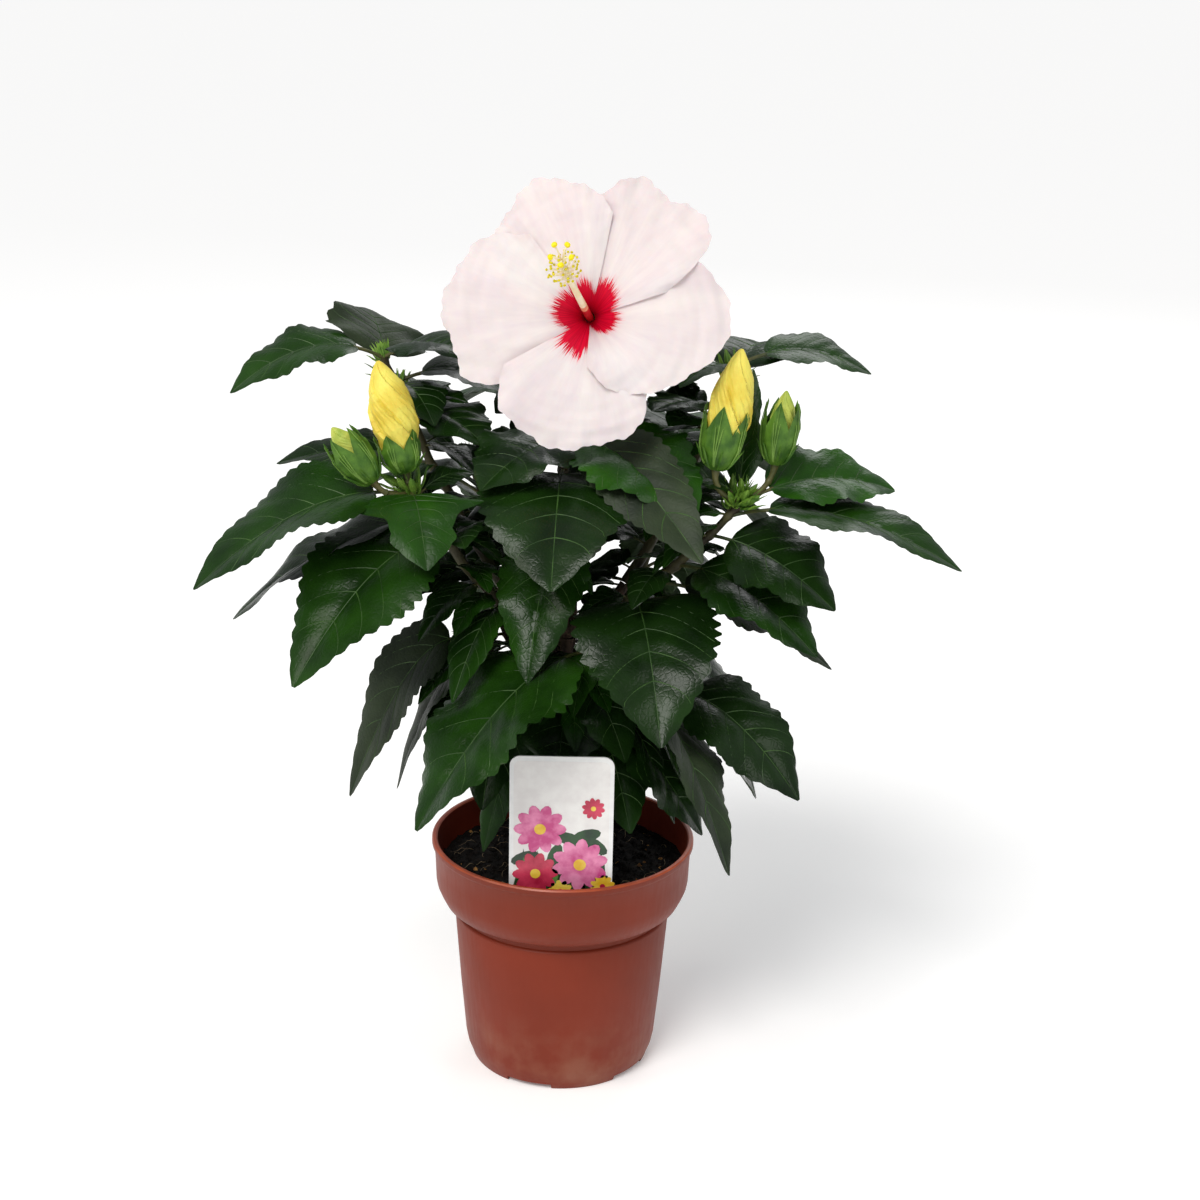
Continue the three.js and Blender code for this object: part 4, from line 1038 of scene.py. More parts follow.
def along_veins(fineness):
    """Noise drawn out along the petal's veins."""
    drawn = add_node(
        tree, "ShaderNodeMapping", inputs={"Scale": (fineness, 1.6, 1)}, links={"Vector": uv.outputs["UV"]},
    )
    noise = add_node(
        tree, "ShaderNodeTexNoise",
        inputs={"Scale": 1.0, "Detail": 4.0, "Roughness": 0.6},
        links={"Vector": drawn.outputs["Vector"]},
    )
    return noise.outputs["Fac"]


pleats = along_veins(30)
# The eye's edge, step by step: each result's name, what makes it, its numbers and its sources.
EYE_STEPS = [
    ("across", "FRACT", {}, {0: "u"}),
    ("centred", "SUBTRACT", {1: 0.5}, {0: "across"}),
    ("squared", "MULTIPLY", {}, {0: "centred", 1: "centred"}),
    ("rounded", "MULTIPLY_ADD", {1: -EYE_ROUNDING, 2: EYE_RADIUS / UV_REACH}, {0: "squared"}),
    ("swayed", "MULTIPLY_ADD", {1: HAIR_SWAY}, {0: "pleats", 2: "across"}),
    ("hair_turns", "MULTIPLY", {1: EYE_HAIRS}, {0: "swayed"}),
    ("hairs", "PINGPONG", {1: 0.5}, {0: "hair_turns"}),
    ("haired", "MULTIPLY_ADD", {1: 2 * HAIR_LENGTH / UV_REACH}, {0: "hairs", 2: "rounded"}),
    ("pushed", "MULTIPLY_ADD", {1: EYE_FEATHER / UV_REACH}, {0: "feathers", 2: "haired"}),
    ("inside", "SUBTRACT", {}, {0: "pushed", 1: "v"}),
]
made = {"u": axes.outputs["X"], "v": axes.outputs["Y"], "pleats": pleats, "feathers": along_veins(14)}
for name, operation, numbers, sources in EYE_STEPS:
    links = {socket: made[source] for socket, source in sources.items()}
    made[name] = add_node(tree, "ShaderNodeMath", {"operation": operation}, numbers, links).outputs["Value"]
# Where the edge is sharp it ends the crimson, and where it is soft it lets a flush of pink run out.
shares = [
    add_node(
        tree, "ShaderNodeMapRange",
        inputs={"From Min": low, "From Max": high},
        links={"Value": made["inside"]},
    ).outputs["Result"]
    for low, high in ((0.01, 0.06), (0.037, 0.043))
]
blush = two_tone(tree, shader, along_veins(7), "#dccdd0", "#e5d9d7", 0.35, 0.65)
flushed = add_node(
    tree, "ShaderNodeMix", {"data_type": "RGBA"},
    inputs={MIX_TO: linear("#e4a8b2")},
    links={MIX_FACTOR: shares[0], MIX_FROM: blush},
)
crimson = two_tone(tree, shader, pleats, "#a60026", "#da0030", 0.3, 0.55)
coloured = add_node(
    tree, "ShaderNodeMix", {"data_type": "RGBA"},
    links={MIX_FACTOR: shares[1], MIX_FROM: flushed.outputs[MIX_RESULT], MIX_TO: crimson},
)
tree.links.new(coloured.outputs[MIX_RESULT], shader.inputs["Base Color"])
relief(tree, shader, pleats, 0.2, 0.4)
print("petal tissue with an eye", 2 * EYE_RADIUS, "mm across")

# %% Petals
FUNNEL_DEPTH = 22
FUNNEL_FLARE = 9
THROAT_RADIUS = 4
THROAT_CLOSES_TO = 2.3
FUNNEL_LEAN = (-0.05, 0.1, 0)
BLOOM_ELEVATION = 17
PETAL_ROLL_BACK = 0.0016
PETAL_PINWHEEL = 0.05
PETAL_CLAW_WIDTH = 0.95
PETAL_CLAW_SHARE = 0.45
PETAL_SKIN = 0.45
PETAL_ROWS = 64
PETAL_COLUMNS = 96
PETALS = [
    {"turn": 119, "spread": 39, "eye": (1.0, 1.1), "margin": [49, 61, 66, 69, 62, 56, 44]},
    {"turn": 59, "spread": 39, "eye": (0.9, 1.12), "margin": [36, 64, 69, 67, 68, 60, 44]},
    {"turn": -32, "spread": 64, "eye": (0.3, 0.95), "margin": [22, 35, 42, 52, 61, 64, 54]},
    {"turn": -98, "spread": 53, "eye": (1.45, 0.45), "margin": [46, 60, 62, 61, 58, 52, 38]},
    {"turn": 175, "spread": 47, "eye": (1.2, 0.85), "margin": [49, 61, 67, 69, 67, 64, 46]},
]
# Folds of the tissue: waves across the petal, height in millimetres, how late they rise, and slant.
FOLDS = [
    (3.1, 1.7, 1.4, 0.9), (5.7, 1.2, 2.0, -1.5), (9.8, 0.7, 2.8, 2.2),
    (19, 0.45, 6, -1.2), (41, 0.2, 12, 0.0),
]
# Crumples run aslant over the folds: height in millimetres, waves along each millimetre, and across.
CRUMPLES = [(0.55, 0.26, 6.0), (0.4, 0.42, -11.0), (0.25, 0.75, 17.0)]
CRUMPLE_LATENESS = 1.5
# The frayed margin: how far each set of waves reaches, as a share of the petal, and its waves.
FRAYS = [(0.018, 9), (0.009, 27), (0.005, 61)]
FRAY_INSET = 0.03
tilt = math.radians(BLOOM_ELEVATION)
BLOOM_AXES = np.array([
    [1, 0, 0],
    [0, math.sin(tilt), math.cos(tilt)],
    [0, -math.cos(tilt), math.sin(tilt)],
])


def bloom_place(points):
    """Turns points of the bloom's own frame, whose third direction faces the viewer, to the plant's."""
    return BLOOM_THROAT + np.asarray(points, float) @ BLOOM_AXES


def margin_reach(margin, offset):
    """A smooth curve through the reaches of a petal's margin, for offsets from -1 to 1."""
    ends = np.array([margin[0], *margin, margin[-1]], float)
    place = (offset + 1) / 2 * (len(margin) - 1)
    first = np.clip(place.astype(int), 0, len(margin) - 2)
    t = place - first
    before, start, end, after = [ends[first + step] for step in range(4)]
    leaving, arriving = (end - before) / 2, (after - start) / 2
    cubic = 2 * (start - end) + leaving + arriving
    square = 3 * (end - start) - 2 * leaving - arriving
    return ((cubic * t + square) * t + leaving) * t + start


def petal_surface(petal, share, offset, phases):
    """Points of a petal and the distance of each from the bloom's axis."""
    claw = mix(PETAL_CLAW_WIDTH, 1, np.minimum(1, share / PETAL_CLAW_SHARE))
    turn = np.radians(petal["turn"] + offset * petal["spread"] * claw)
    frill = sum(size * np.sin(offset * waves + phase) for (size, waves), phase in zip(FRAYS, phases))
    reach = margin_reach(petal["margin"], offset) * (1 + (frill - FRAY_INSET) * share ** 5)
    distance = mix(THROAT_CLOSES_TO, reach, share)
    pinwheel = -PETAL_PINWHEEL * np.sin(np.radians(offset * petal["spread"] * claw)) * distance
    funnel = FUNNEL_DEPTH * np.exp(-(distance - THROAT_RADIUS) / FUNNEL_FLARE)
    height = pinwheel - funnel
    height = height - PETAL_ROLL_BACK * distance ** 2
    for (waves, rise, lateness, slant), phase in zip(FOLDS, phases):
        height = height + rise * np.sin(offset * waves + share * slant + phase) * share ** lateness
    for (rise, along, across), phase in zip(CRUMPLES, phases):
        wave = np.sin(distance * along + offset * across + phase)
        wave = wave * np.sin(offset * across * 0.6 - distance * along * 0.5 - phase)
        height = height + rise * share ** CRUMPLE_LATENESS * wave
    return around(turn, distance, height) + funnel[..., None] * np.array(FUNNEL_LEAN), distance


for number, petal in enumerate(PETALS, 1):
    rows, columns = np.linspace(0, 1, PETAL_ROWS), np.linspace(-1, 1, PETAL_COLUMNS)
    share, offset = np.meshgrid(rows, columns, indexing="ij")
    top, distance = petal_surface(petal, share, offset, chance.uniform(0, 6.28, len(FOLDS)))
    pile = Pile()
    add_lens(pile, bloom_place(top), bloom_place(top - [0, 0, PETAL_SKIN]))
    thing = pile.piece(f"petal_{number}", [petal_tissue], "petal", [f"bloom_petal_{number}"])
    # The mesh has the grid's points and then the underside's, which has no margin of its own.
    grids = (offset, distance)
    across, outward = [np.concatenate([grid.ravel(), grid[1:-1, 1:-1].ravel()]) for grid in grids]
    across = across * 0.499 + 0.5
    outward = outward / (UV_REACH * mix(*petal["eye"], across))
    corners = np.empty(len(thing.data.loops), int)
    thing.data.loops.foreach_get("vertex_index", corners)
    layer = thing.data.uv_layers.new(name=PETAL_UV)
    layer.data.foreach_set("uv", np.stack([across[corners] + number, outward[corners]], axis=1).ravel())

# %% [markdown]
# ## The column
#
# From the eye a slender column leans up and out. It is red at its foot and turns pale yellow, and
# near its end it bears some sixty short filaments, each tipped with an anther like a tiny yellow
# bean. Past them the style splits in five, and each branch ends in a round yellow pad. Everything
# here is small and round, so tubes and lumpy beads are all it needs.

# %% Column materials
FLESHY = {"Roughness": 0.5, "IOR": 1.4}
DRY = {"IOR": 1.45}
COLUMN_FINISHES = [
    # The column is moist flesh that glows a little; its foot and the blush above it are coloured sap.
    mottled(
        "staminal_column", ("#eedcae", "#f6ecd2"), (5,),
        Subsurface_Weight=0.1, Subsurface_Scale=0.002, **FLESHY,
    ),
    mottled("staminal_column_foot", ("#c0182c", "#d03034"), (4,), **FLESHY),
    mottled("staminal_column_blush", ("#e8926c", "#f0b890"), (3,), **FLESHY),
    # Pollen is a dry powder, and the stigma a velvet of fine hairs: neither has any gloss.
    mottled("pollen_anther", ("#c4b00c", "#e4d820"), (0.9, 2), pores=(0.1, 0.4, 2), **DRY, Roughness=0.85),
    mottled("stigma_velvet", ("#f2d800", "#ffee30"), (0.8, 2), pores=(0.15, 0.35, 2), **DRY, Roughness=0.8),
]
COLUMN_SKIN, COLUMN_FOOT, COLUMN_BLUSH, ANTHER, STIGMA = range(5)
print("column finishes:", [material.name for material in COLUMN_FINISHES])


# %% Column, filaments, anthers and stigma pads
COLUMN_PATH = [[-1.2, 2.4, -FUNNEL_DEPTH - 7], [-5, 5.5, 10], [-14.5, 21.5, 25]]
COLUMN_PARTS = [(0, 0.27, COLUMN_FOOT), (0.27, 0.34, COLUMN_BLUSH), (0.34, 0.93, COLUMN_SKIN)]
COLUMN_RADII = (1.9, 1.2)
BRUSH_FROM, BRUSH_TO = 0.74, 0.93
BRUSH_PLACE = 0.9
BRUSH_RADIUS = 7.4
STIGMA_MIDDLE = (-14, 23.5, 31)
STIGMA_SPREAD = 4.8
STIGMA_RADIUS = 1.4
STIGMA_PADS = 5
FILAMENTS = 60
FILAMENT_RADII = [0.24, 0.2, 0.18, 0.16, 0.14]
ANTHER_RADIUS = 0.55


def add_bead(pile, centre, radius, direction, stretch, finish, sides=8, rows=7):
    """A small rounded body, longer by stretch along its direction."""
    shares = np.linspace(0.06, 0.94, rows)
    line = np.asarray(centre) + np.asarray(direction) * ((shares - 0.5) * 2 * radius * stretch)[:, None]
    add_tube(pile, line, radius * np.sqrt(1 - (2 * shares - 1) ** 2) + 0.02, sides, finish)


column = Pile()
for first, last, finish in COLUMN_PARTS:
    places = np.linspace(first, last, 16)
    add_tube(column, bloom_place(curve_at(COLUMN_PATH, places)), mix(*COLUMN_RADII, places), 20, finish)
for number in range(FILAMENTS):
    share = (number + 0.5) / FILAMENTS
    place = mix(BRUSH_FROM, BRUSH_TO, share)
    turn = math.radians(number * GOLDEN_ANGLE)
    along = curve_direction(COLUMN_PATH, place)
    side = unit(np.cross(along, [1, 0, 0]))
    out = side * math.cos(turn) + np.cross(along, side) * math.sin(turn)
    root = curve_at(COLUMN_PATH, place)
    rise = mix(-0.8, 0.95, share)
    reach = BRUSH_RADIUS * chance.uniform(0.8, 1.08)
    tip = curve_at(COLUMN_PATH, BRUSH_PLACE) + (out * math.sqrt(1 - rise * rise) + along * rise) * reach
    bend = root + (tip - root) * 0.5 + out * 0.6
    filament = curve_at([root, bend, tip], np.linspace(0, 1, len(FILAMENT_RADII)))
    add_tube(column, bloom_place(filament), FILAMENT_RADII, 5, COLUMN_SKIN)
    add_bead(column, bloom_place(tip), ANTHER_RADIUS, unit(np.cross(out, along)) @ BLOOM_AXES, 1.25, ANTHER)
end = curve_at(COLUMN_PATH, BRUSH_TO)
for number in range(STIGMA_PADS):
    turn = math.radians(number * 360 / STIGMA_PADS + 55)
    out = np.array([math.cos(turn), math.sin(turn), 0])
    tip = np.array(STIGMA_MIDDLE) + out * STIGMA_SPREAD
    bend = mix(end, np.array(STIGMA_MIDDLE), 0.8)
    add_tube(column, bloom_place(curve_at([end, bend, tip], np.linspace(0, 1, 7))), [0.4] * 7, 6, COLUMN_SKIN)
    add_bead(column, bloom_place(tip), STIGMA_RADIUS, bloom_place(out) - BLOOM_THROAT, 0.9, STIGMA, 14, 9)
column.piece("column_with_anthers", COLUMN_FINISHES, "stamens", ["bloom_column"])

# %% [markdown]
# ## Calyces and buds
#
# A calyx is a green cup with five pointed teeth and a raised rib to each tooth. Below it stands a
# ring of narrow bractlets. Out of the cup comes the rolled-up corolla: five petals wound round each
# other, so the bud's skin has five slanting folds that tighten to its tip. Both are turned shapes
# whose radius also changes with the angle.

# %% Bud and calyx materials
CALYX_FINISHES = [
    # Leathery green skin with fibres under it: a low sheen that breaks up lengthwise.
    mottled(
        "calyx_skin", ("#2f570e", "#567e24"), (6, 4), pores=(0.2, 1.1, 3, LENGTHWISE),
        Roughness=0.52, IOR=1.43,
    ),
    mottled("calyx_rib", ("#52782a", "#769a42"), (6,), Roughness=0.5, IOR=1.43),
]
# Rolled petals are matt, with fine creases lengthwise, and deep yellow in patches.
bud_petal = mottled(
    "rolled_yellow_petal", ("#d8bc3c", "#eadc62"), (13, 4), (0.3, 0.6), pores=(0.35, 1.4, 4, (1, 1, 0.25)),
    Roughness=0.55, IOR=1.4, Subsurface_Weight=0.1, Subsurface_Scale=0.003,
)
green_petal = mottled(
    "rolled_green_petal", ("#8fa83c", "#c0c85a"), (7, 4), pores=(0.25, 1.2, 4, LENGTHWISE),
    Roughness=0.55, IOR=1.4,
)
print("bud finishes:", [material.name for material in (*CALYX_FINISHES, bud_petal, green_petal)])

# %% Calyx cup, bractlets and rolled corolla
BUD_START = 5
CALYX_WALL = 0.6
CALYX_TEETH = 5
CALYX_ROWS, CALYX_COLUMNS = 18, 60
CALYX_NOTCH = 0.6
BUD_FLARE = 1.08
# The bloom's calyx: how far its foot lies behind the funnel, then its radius, length and flare.
BLOOM_CALYX_DEPTH = 16
BLOOM_CALYX = (8.5, 18, 1.03)
BRACTLETS = 7
COROLLA_ROWS, COROLLA_COLUMNS = 72, 120
COROLLA_FOLDS = 5


def standing(foot, tip):
    """Turns points on local +Z to stand on a line from foot to tip."""
    foot = np.asarray(foot, float)
    axis = Vector((np.asarray(tip, float) - foot).tolist()).normalized()
    turn = np.array(Vector((0, 0, 1)).rotation_difference(axis).to_matrix())
    return lambda points: foot + np.asarray(points, float) @ turn.T


BUD_LEVELS = [0, 0.15, 0.35, 0.55, 0.75, 0.9, 0.97, 1]
BUD_RADII = [0.5, 0.8, 1, 0.98, 0.76, 0.42, 0.2, 0.07]
CALYX_LEVELS = [0, 0.12, 0.35, 0.62, 1]


def add_calyx(pile, place, radius, length, flare, inner_radius=None):
    """A cup with five teeth and a rib to each, then its ring of bractlets; it keeps off what it holds."""
    def skin(level):
        swell = radius * np.interp(level / length, CALYX_LEVELS, [0.3, 0.7, 1, flare, flare * 0.86])
        return swell if inner_radius is None else np.maximum(swell, inner_radius(level) + 0.9)

    turn = round_turn(CALYX_COLUMNS)
    tooth = np.abs(((turn / (2 * np.pi) * CALYX_TEETH) % 1) * 2 - 1)
    rim = length * mix(CALYX_NOTCH, 1, (1 - tooth) ** 0.9)
    share = np.linspace(0.02, 1, CALYX_ROWS)[:, None]
    level = share * rim[None]
    rib = 0.05 * radius * np.clip(1 - tooth * 5, 0, 1)[None] * np.sin(np.pi * share)
    curl = 0.25 * np.clip((share - 0.8) / 0.2, 0, 1) ** 2
    wide = skin(level) + rib + 0.25 * np.cos(turn * 15)[None] * share + curl
    outer = around(turn, wide, level)
    thin = wide - CALYX_WALL * np.where(share > 0.97, 0.2, 1)
    inner = around(turn, thin, level + 0.3 * (1 - share))
    add_rings(pile, place(np.concatenate([outer, inner[::-1]])))
    for number in range(CALYX_TEETH):
        for off, top in ((0, 0.94), (-0.13, 0.68), (0.13, 0.68)):
            rise = np.linspace(0.08, top, 12)
            angle = (number + 0.5 + off * rise / top) / CALYX_TEETH * 2 * math.pi
            reach = skin(rise * length) + 0.05 * radius + 0.1 - 0.3 * abs(off)
            line = around(angle, reach, rise * length)
            add_tube(pile, place(line), mix(0.45, 0.15, rise), 6, 1)
    steps = np.linspace(0, 1, 9)
    reach = radius * (0.35 + 0.78 * steps ** 0.6 + 0.12 * steps ** 3)
    for number in range(BRACTLETS):
        angle = (number + 0.3) / BRACTLETS * 2 * math.pi
        line = around(angle, reach, length * (0.02 + 0.34 * steps))
        add_tube(pile, place(line), 0.62 * np.sin(np.pi * (0.12 + 0.86 * steps)) + 0.1, 6, 0)


def add_rolled_corolla(pile, place, radius, start, length, turns=0.5):
    """A bud's corolla: folds that wind up to its tip."""
    share = np.linspace(0, 1, COROLLA_ROWS)[:, None]
    turn = round_turn(COROLLA_COLUMNS)
    fold = ((turn / (2 * np.pi) + share * turns) * COROLLA_FOLDS) % 1
    step = 0.2 * (fold ** 0.75 - 0.5) * np.clip(share * 3, 0, 1)
    wound = turn + share * turns * 2 * np.pi
    crease = 0.022 * np.sin(wound * 20 + 3 * np.sin(share * 9)) + 0.02 * np.sin(wound * 35 + 1.3)
    size = radius * np.interp(share, BUD_LEVELS, BUD_RADII) * (1 + step + crease * np.sin(np.pi * share))
    points = around(turn, size, mix(start, length, share))
    points[..., 0] += 0.08 * radius * np.sin(share * 3)
    add_rings(pile, place(points))


for bud in BUDS:
    name = bud["name"]
    place = standing(bud["foot"], bud["tip"])
    length = float(np.linalg.norm(np.subtract(bud["tip"], bud["foot"])))
    cup, roll_up = Pile(), Pile()
    radius = bud["corolla"] * 0.95

    def bud_radius(level, radius=radius, length=length):
        share = (level - BUD_START) / (length - BUD_START)
        return radius * np.interp(share, BUD_LEVELS, BUD_RADII, left=0)

    add_calyx(cup, place, bud["calyx"], bud["sleeve"], BUD_FLARE, bud_radius)
    cup.piece("calyx_" + name, CALYX_FINISHES, "calyx", ["bud_" + name + "_calyx"])
    add_rolled_corolla(roll_up, place, radius, BUD_START, length)
    petals = bud_petal if "yellow" in name else green_petal
    roll_up.piece("corolla_" + name, [petals], "bud", ["bud_" + name + "_corolla"])

calyx = Pile()
calyx_foot = bloom_place([0, 0, -FUNNEL_DEPTH - BLOOM_CALYX_DEPTH])
add_calyx(calyx, standing(calyx_foot, BLOOM_THROAT), *BLOOM_CALYX)
calyx.piece("calyx_bloom", CALYX_FINISHES, "calyx", ["bloom_calyx"])

# %% [markdown]
# Every bud and the bloom stand on a green stalk that leaves the stem just below its tip. It bends
# over to meet the foot of the calyx square, and swells at a joint on the way.

# %% Flower stalks
STALK_RADIUS = 1.3
STALK_JOINT = 0.62
stalks = Pile()
steps = np.linspace(0, 1, 24)
radii = STALK_RADIUS + 0.5 * np.exp(-((steps - STALK_JOINT) / 0.03) ** 2) + 0.9 * steps ** 10
branch_of = {branch["name"]: branch for branch in BRANCHES}
feet = [(bud["branch"], bud["foot"], unit(np.subtract(bud["tip"], bud["foot"]))) for bud in BUDS]
feet.append(("leader", calyx_foot, unit(BLOOM_AXES[2])))
for branch_name, foot, facing in feet:
    start = curve_at(branch_of[branch_name]["path"], 0.97)
    foot = np.asarray(foot, float)
    middle = foot - facing * np.linalg.norm(foot - start) * 0.5
    line = curve_at([start, middle, foot + facing * 0.4], steps)
    add_tube(stalks, line, radii, 12, STALK_FINISH)
stalks.piece("flower_stalks", WOOD_FINISHES, "foliage")

# %% [markdown]
# ## The pot
#
# The pot is polypropylene, injection-moulded in a terracotta colour. The thin wall shows a matt
# face with fine scuffs and a dusty band low down where water has splashed compost on it. The top of
# the rolled lip is painted a brighter orange, a painted highlight where the light falls on it. A
# turned profile is the right way for a moulded pot, and a Boolean cuts the drainage mouths out of
# its foot, as the mould does.

# %% Pot materials
SPLASH_TOP = 44
SPLASH_FULL = 10
moulded_pp, tree, shader = new_material(
    "moulded_polypropylene", Roughness=0.46, IOR=1.43, Specular_IOR_Level=0.35,
)
place = add_node(tree, "ShaderNodeTexCoord")
axes = add_node(tree, "ShaderNodeSeparateXYZ", links={"Vector": place.outputs["Object"]})
# Dust lies where it's both low on the wall and inside a cloud of the noise.
splashed = add_node(
    tree, "ShaderNodeMapRange",
    inputs={"From Min": SPLASH_TOP * MM, "From Max": SPLASH_FULL * MM},
    links={"Value": axes.outputs["Z"]},
)
clouded = add_node(
    tree, "ShaderNodeMapRange",
    inputs={"From Min": 0.42, "From Max": 0.7},
    links={"Value": grain(tree, 17, 6)},
)
dust = add_node(
    tree, "ShaderNodeMath", {"operation": "MULTIPLY"},
    links={0: splashed.outputs["Result"], 1: clouded.outputs["Result"]},
)
plastic = two_tone(tree, shader, grain(tree, 42, 4), "#71260f", "#7b2a12", 0.3, 0.7)
dusty = add_node(
    tree, "ShaderNodeMix", {"data_type": "RGBA"},
    inputs={MIX_TO: linear("#854c38")},
    links={MIX_FACTOR: dust.outputs["Value"], MIX_FROM: plastic},
)
tree.links.new(dusty.outputs[MIX_RESULT], shader.inputs["Base Color"])
scuffs = grain(tree, 2.2, 6, (1, 1, 0.15))
rough = add_node(tree, "ShaderNodeMapRange", inputs={"To Min": 0.36, "To Max": 0.6}, links={"Value": scuffs})
tree.links.new(rough.outputs["Result"], shader.inputs["Roughness"])
relief(tree, shader, scuffs, 0.06)
# The top of the lip is a brighter orange: a painted highlight where the light falls on it.
lip_highlight_pp = mottled("moulded_polypropylene_lip_painted_highlight", ("#963a18", "#ac4a22"), (12,), Roughness=0.38, IOR=1.49)
POT_FINISHES = [moulded_pp, lip_highlight_pp]
print("pot finishes:", [material.name for material in POT_FINISHES])

# %% The turned wall, then its drainage mouths
POT_SEGMENTS = 192
FOOT_RADIUS = 44.6
FOOT_NOTCHES = 5
NOTCH_WIDTH = 23
NOTCH_DEPTH = 12
NOTCH_HEIGHT = 2.6
FIRST_NOTCH_BEARING = -19
DRAIN_RADIUS = 4.5
DRAIN_CIRCLE = 33
DRAIN_CUT_TOP = 9
CUT_BELOW = 2
# Faces above this height and beyond this radius, the top of the lip, carry the painted highlight.
LIP_HIGHLIGHT_FROM = 116.6
LIP_HIGHLIGHT_INSIDE = 62
# Radius and height round the wall's section: base, foot, outside, step, band, lip, and back down inside.
POT_PROFILE = [
    (18, 0), (19.5, 3), (41.4, 3), (42, 0.3), (42.3, 0), (44.1, 0), (44.6, 0.5), (45.4, 3), (47.0, 7),
    (48.0, 12), (50.6, 40), (53.6, 78.6), (53.2, 79.4), (52.2, 80), (52.2, 84.6), (53.4, 85.2),
    (57.9, 85.5), (59, 86.2), (61, 90.2), (62.4, 93.6), (62.9, 96.4), (63.2, 104), (63.7, 113.6),
    (64.4, 114.6), (65, 115.4), (65, 117.3), (64.4, 118), (63, 118), (62.3, 117.4), (61.4, 105),
    (60.9, 97), (58, 90), (50.6, 87), (50.2, 77), (45.4, 10), (43.5, 4.8),
]
profile = np.array(POT_PROFILE, float)
pot = Pile()
add_rings(pot, around(round_turn(POT_SEGMENTS), profile[:, :1], profile[:, 1:]))
pot_thing = pot.piece("nursery_pot", POT_FINISHES, "pot", ["pot"])

mouths = Pile()
hole = round_turn(24)[:, None]
for notch in range(FOOT_NOTCHES):
    turn = math.radians(FIRST_NOTCH_BEARING + notch * 360 / FOOT_NOTCHES)
    out = np.array([math.sin(turn), -math.cos(turn), 0])
    across = np.array([math.cos(turn), math.sin(turn), 0])
    corners = np.array([(-1, -1), (1, -1), (1, 1), (-1, 1)])
    sideways, outward = corners[:, :1] * (NOTCH_WIDTH / 2), corners[:, 1:] * (NOTCH_DEPTH / 2)
    box = across * sideways + out * (FOOT_RADIUS + outward)
    add_rings(mouths, [box + [0, 0, level] for level in (-CUT_BELOW, NOTCH_HEIGHT)])
    rim = out * DRAIN_CIRCLE + DRAIN_RADIUS * (np.cos(hole) * across + np.sin(hole) * out)
    add_rings(mouths, [rim + [0, 0, level] for level in (-CUT_BELOW, DRAIN_CUT_TOP)])
cutter = mouths.piece("drain_mouths", POT_FINISHES, "pot")
cut = pot_thing.modifiers.new("drainage", "BOOLEAN")
cut.operation = "DIFFERENCE"
cut.object = cutter
bpy.context.view_layer.update()
finished = bpy.data.meshes.new_from_object(pot_thing.evaluated_get(bpy.context.evaluated_depsgraph_get()))
pot_thing.modifiers.clear()
pot_thing.data = finished
bpy.data.objects.remove(cutter)
# Faces on the top of the lip get the brighter orange of the painted highlight.
for face in finished.polygons:
    on_lit_lip_top = face.center.z > LIP_HIGHLIGHT_FROM * MM and face.center.xy.length > LIP_HIGHLIGHT_INSIDE * MM
    face.material_index = int(on_lit_lip_top)
    face.use_smooth = True
keep_edges_crisp(finished)
print("the pot's wall has", len(finished.polygons), "faces")

# %% [markdown]
# ## The compost
#
# Peat compost is nearly black when moist: a crumbly bed with lumps of every size up to a few
# millimetres, pale root fibres and a few golden-brown chips of wood. The bed is a disc whose height
# is roughened by seeded waves, and crumbs, chips and fibres are scattered on it as shapes.

# %% Compost materials
COMPOST_FINISHES = [
    mottled(
        "moist_peat", ("#040303", "#1a120d"), (2.4, 6), (0.4, 0.76), pores=(0.9, 1.6, 6),
        Roughness=0.95, IOR=1.33,
    ),
    mottled("wood_chips", ("#6b4520", "#b98a4a"), (2, 4, LENGTHWISE), Roughness=0.85, IOR=1.45),
    mottled("peat_fibres", ("#4f4232", "#8f7d62"), (5,), Roughness=0.85, IOR=1.45),
]
PEAT, WOOD_CHIP, FIBRE = range(3)
print("compost finishes:", [material.name for material in COMPOST_FINISHES])

# %% Bed, crumbs, chips and fibres
COMPOST_RADIUS = 61
CRUMBS = 1700
CHIPS = 60
FIBRES = 90
BED_ROWS, BED_COLUMNS = 70, 160
BED_SKIRT = 8


def bed_height(x, y):
    """The compost's top: a shallow mound with lumps."""
    lumps = 0.6 * np.sin(x * 0.31 + 1) * np.sin(y * 0.27) + 0.45 * np.sin(x * 0.71 + y * 0.53)
    lumps = lumps + 0.3 * np.sin(x * 1.9 + 2) * np.sin(y * 1.7 + 1) + 0.2 * np.sin(x * 3.1 - y * 2.7)
    return COMPOST_TOP - 1 - 1.6 * (np.hypot(x, y) / COMPOST_RADIUS) ** 2 + lumps


def scatter(number):
    """Seeded places on the bed, even over its area."""
    reach = (COMPOST_RADIUS - 3) * np.sqrt(chance.uniform(0, 1, number))
    turn = chance.uniform(0, 2 * np.pi, number)
    return np.stack([reach * np.cos(turn), reach * np.sin(turn)], axis=1)


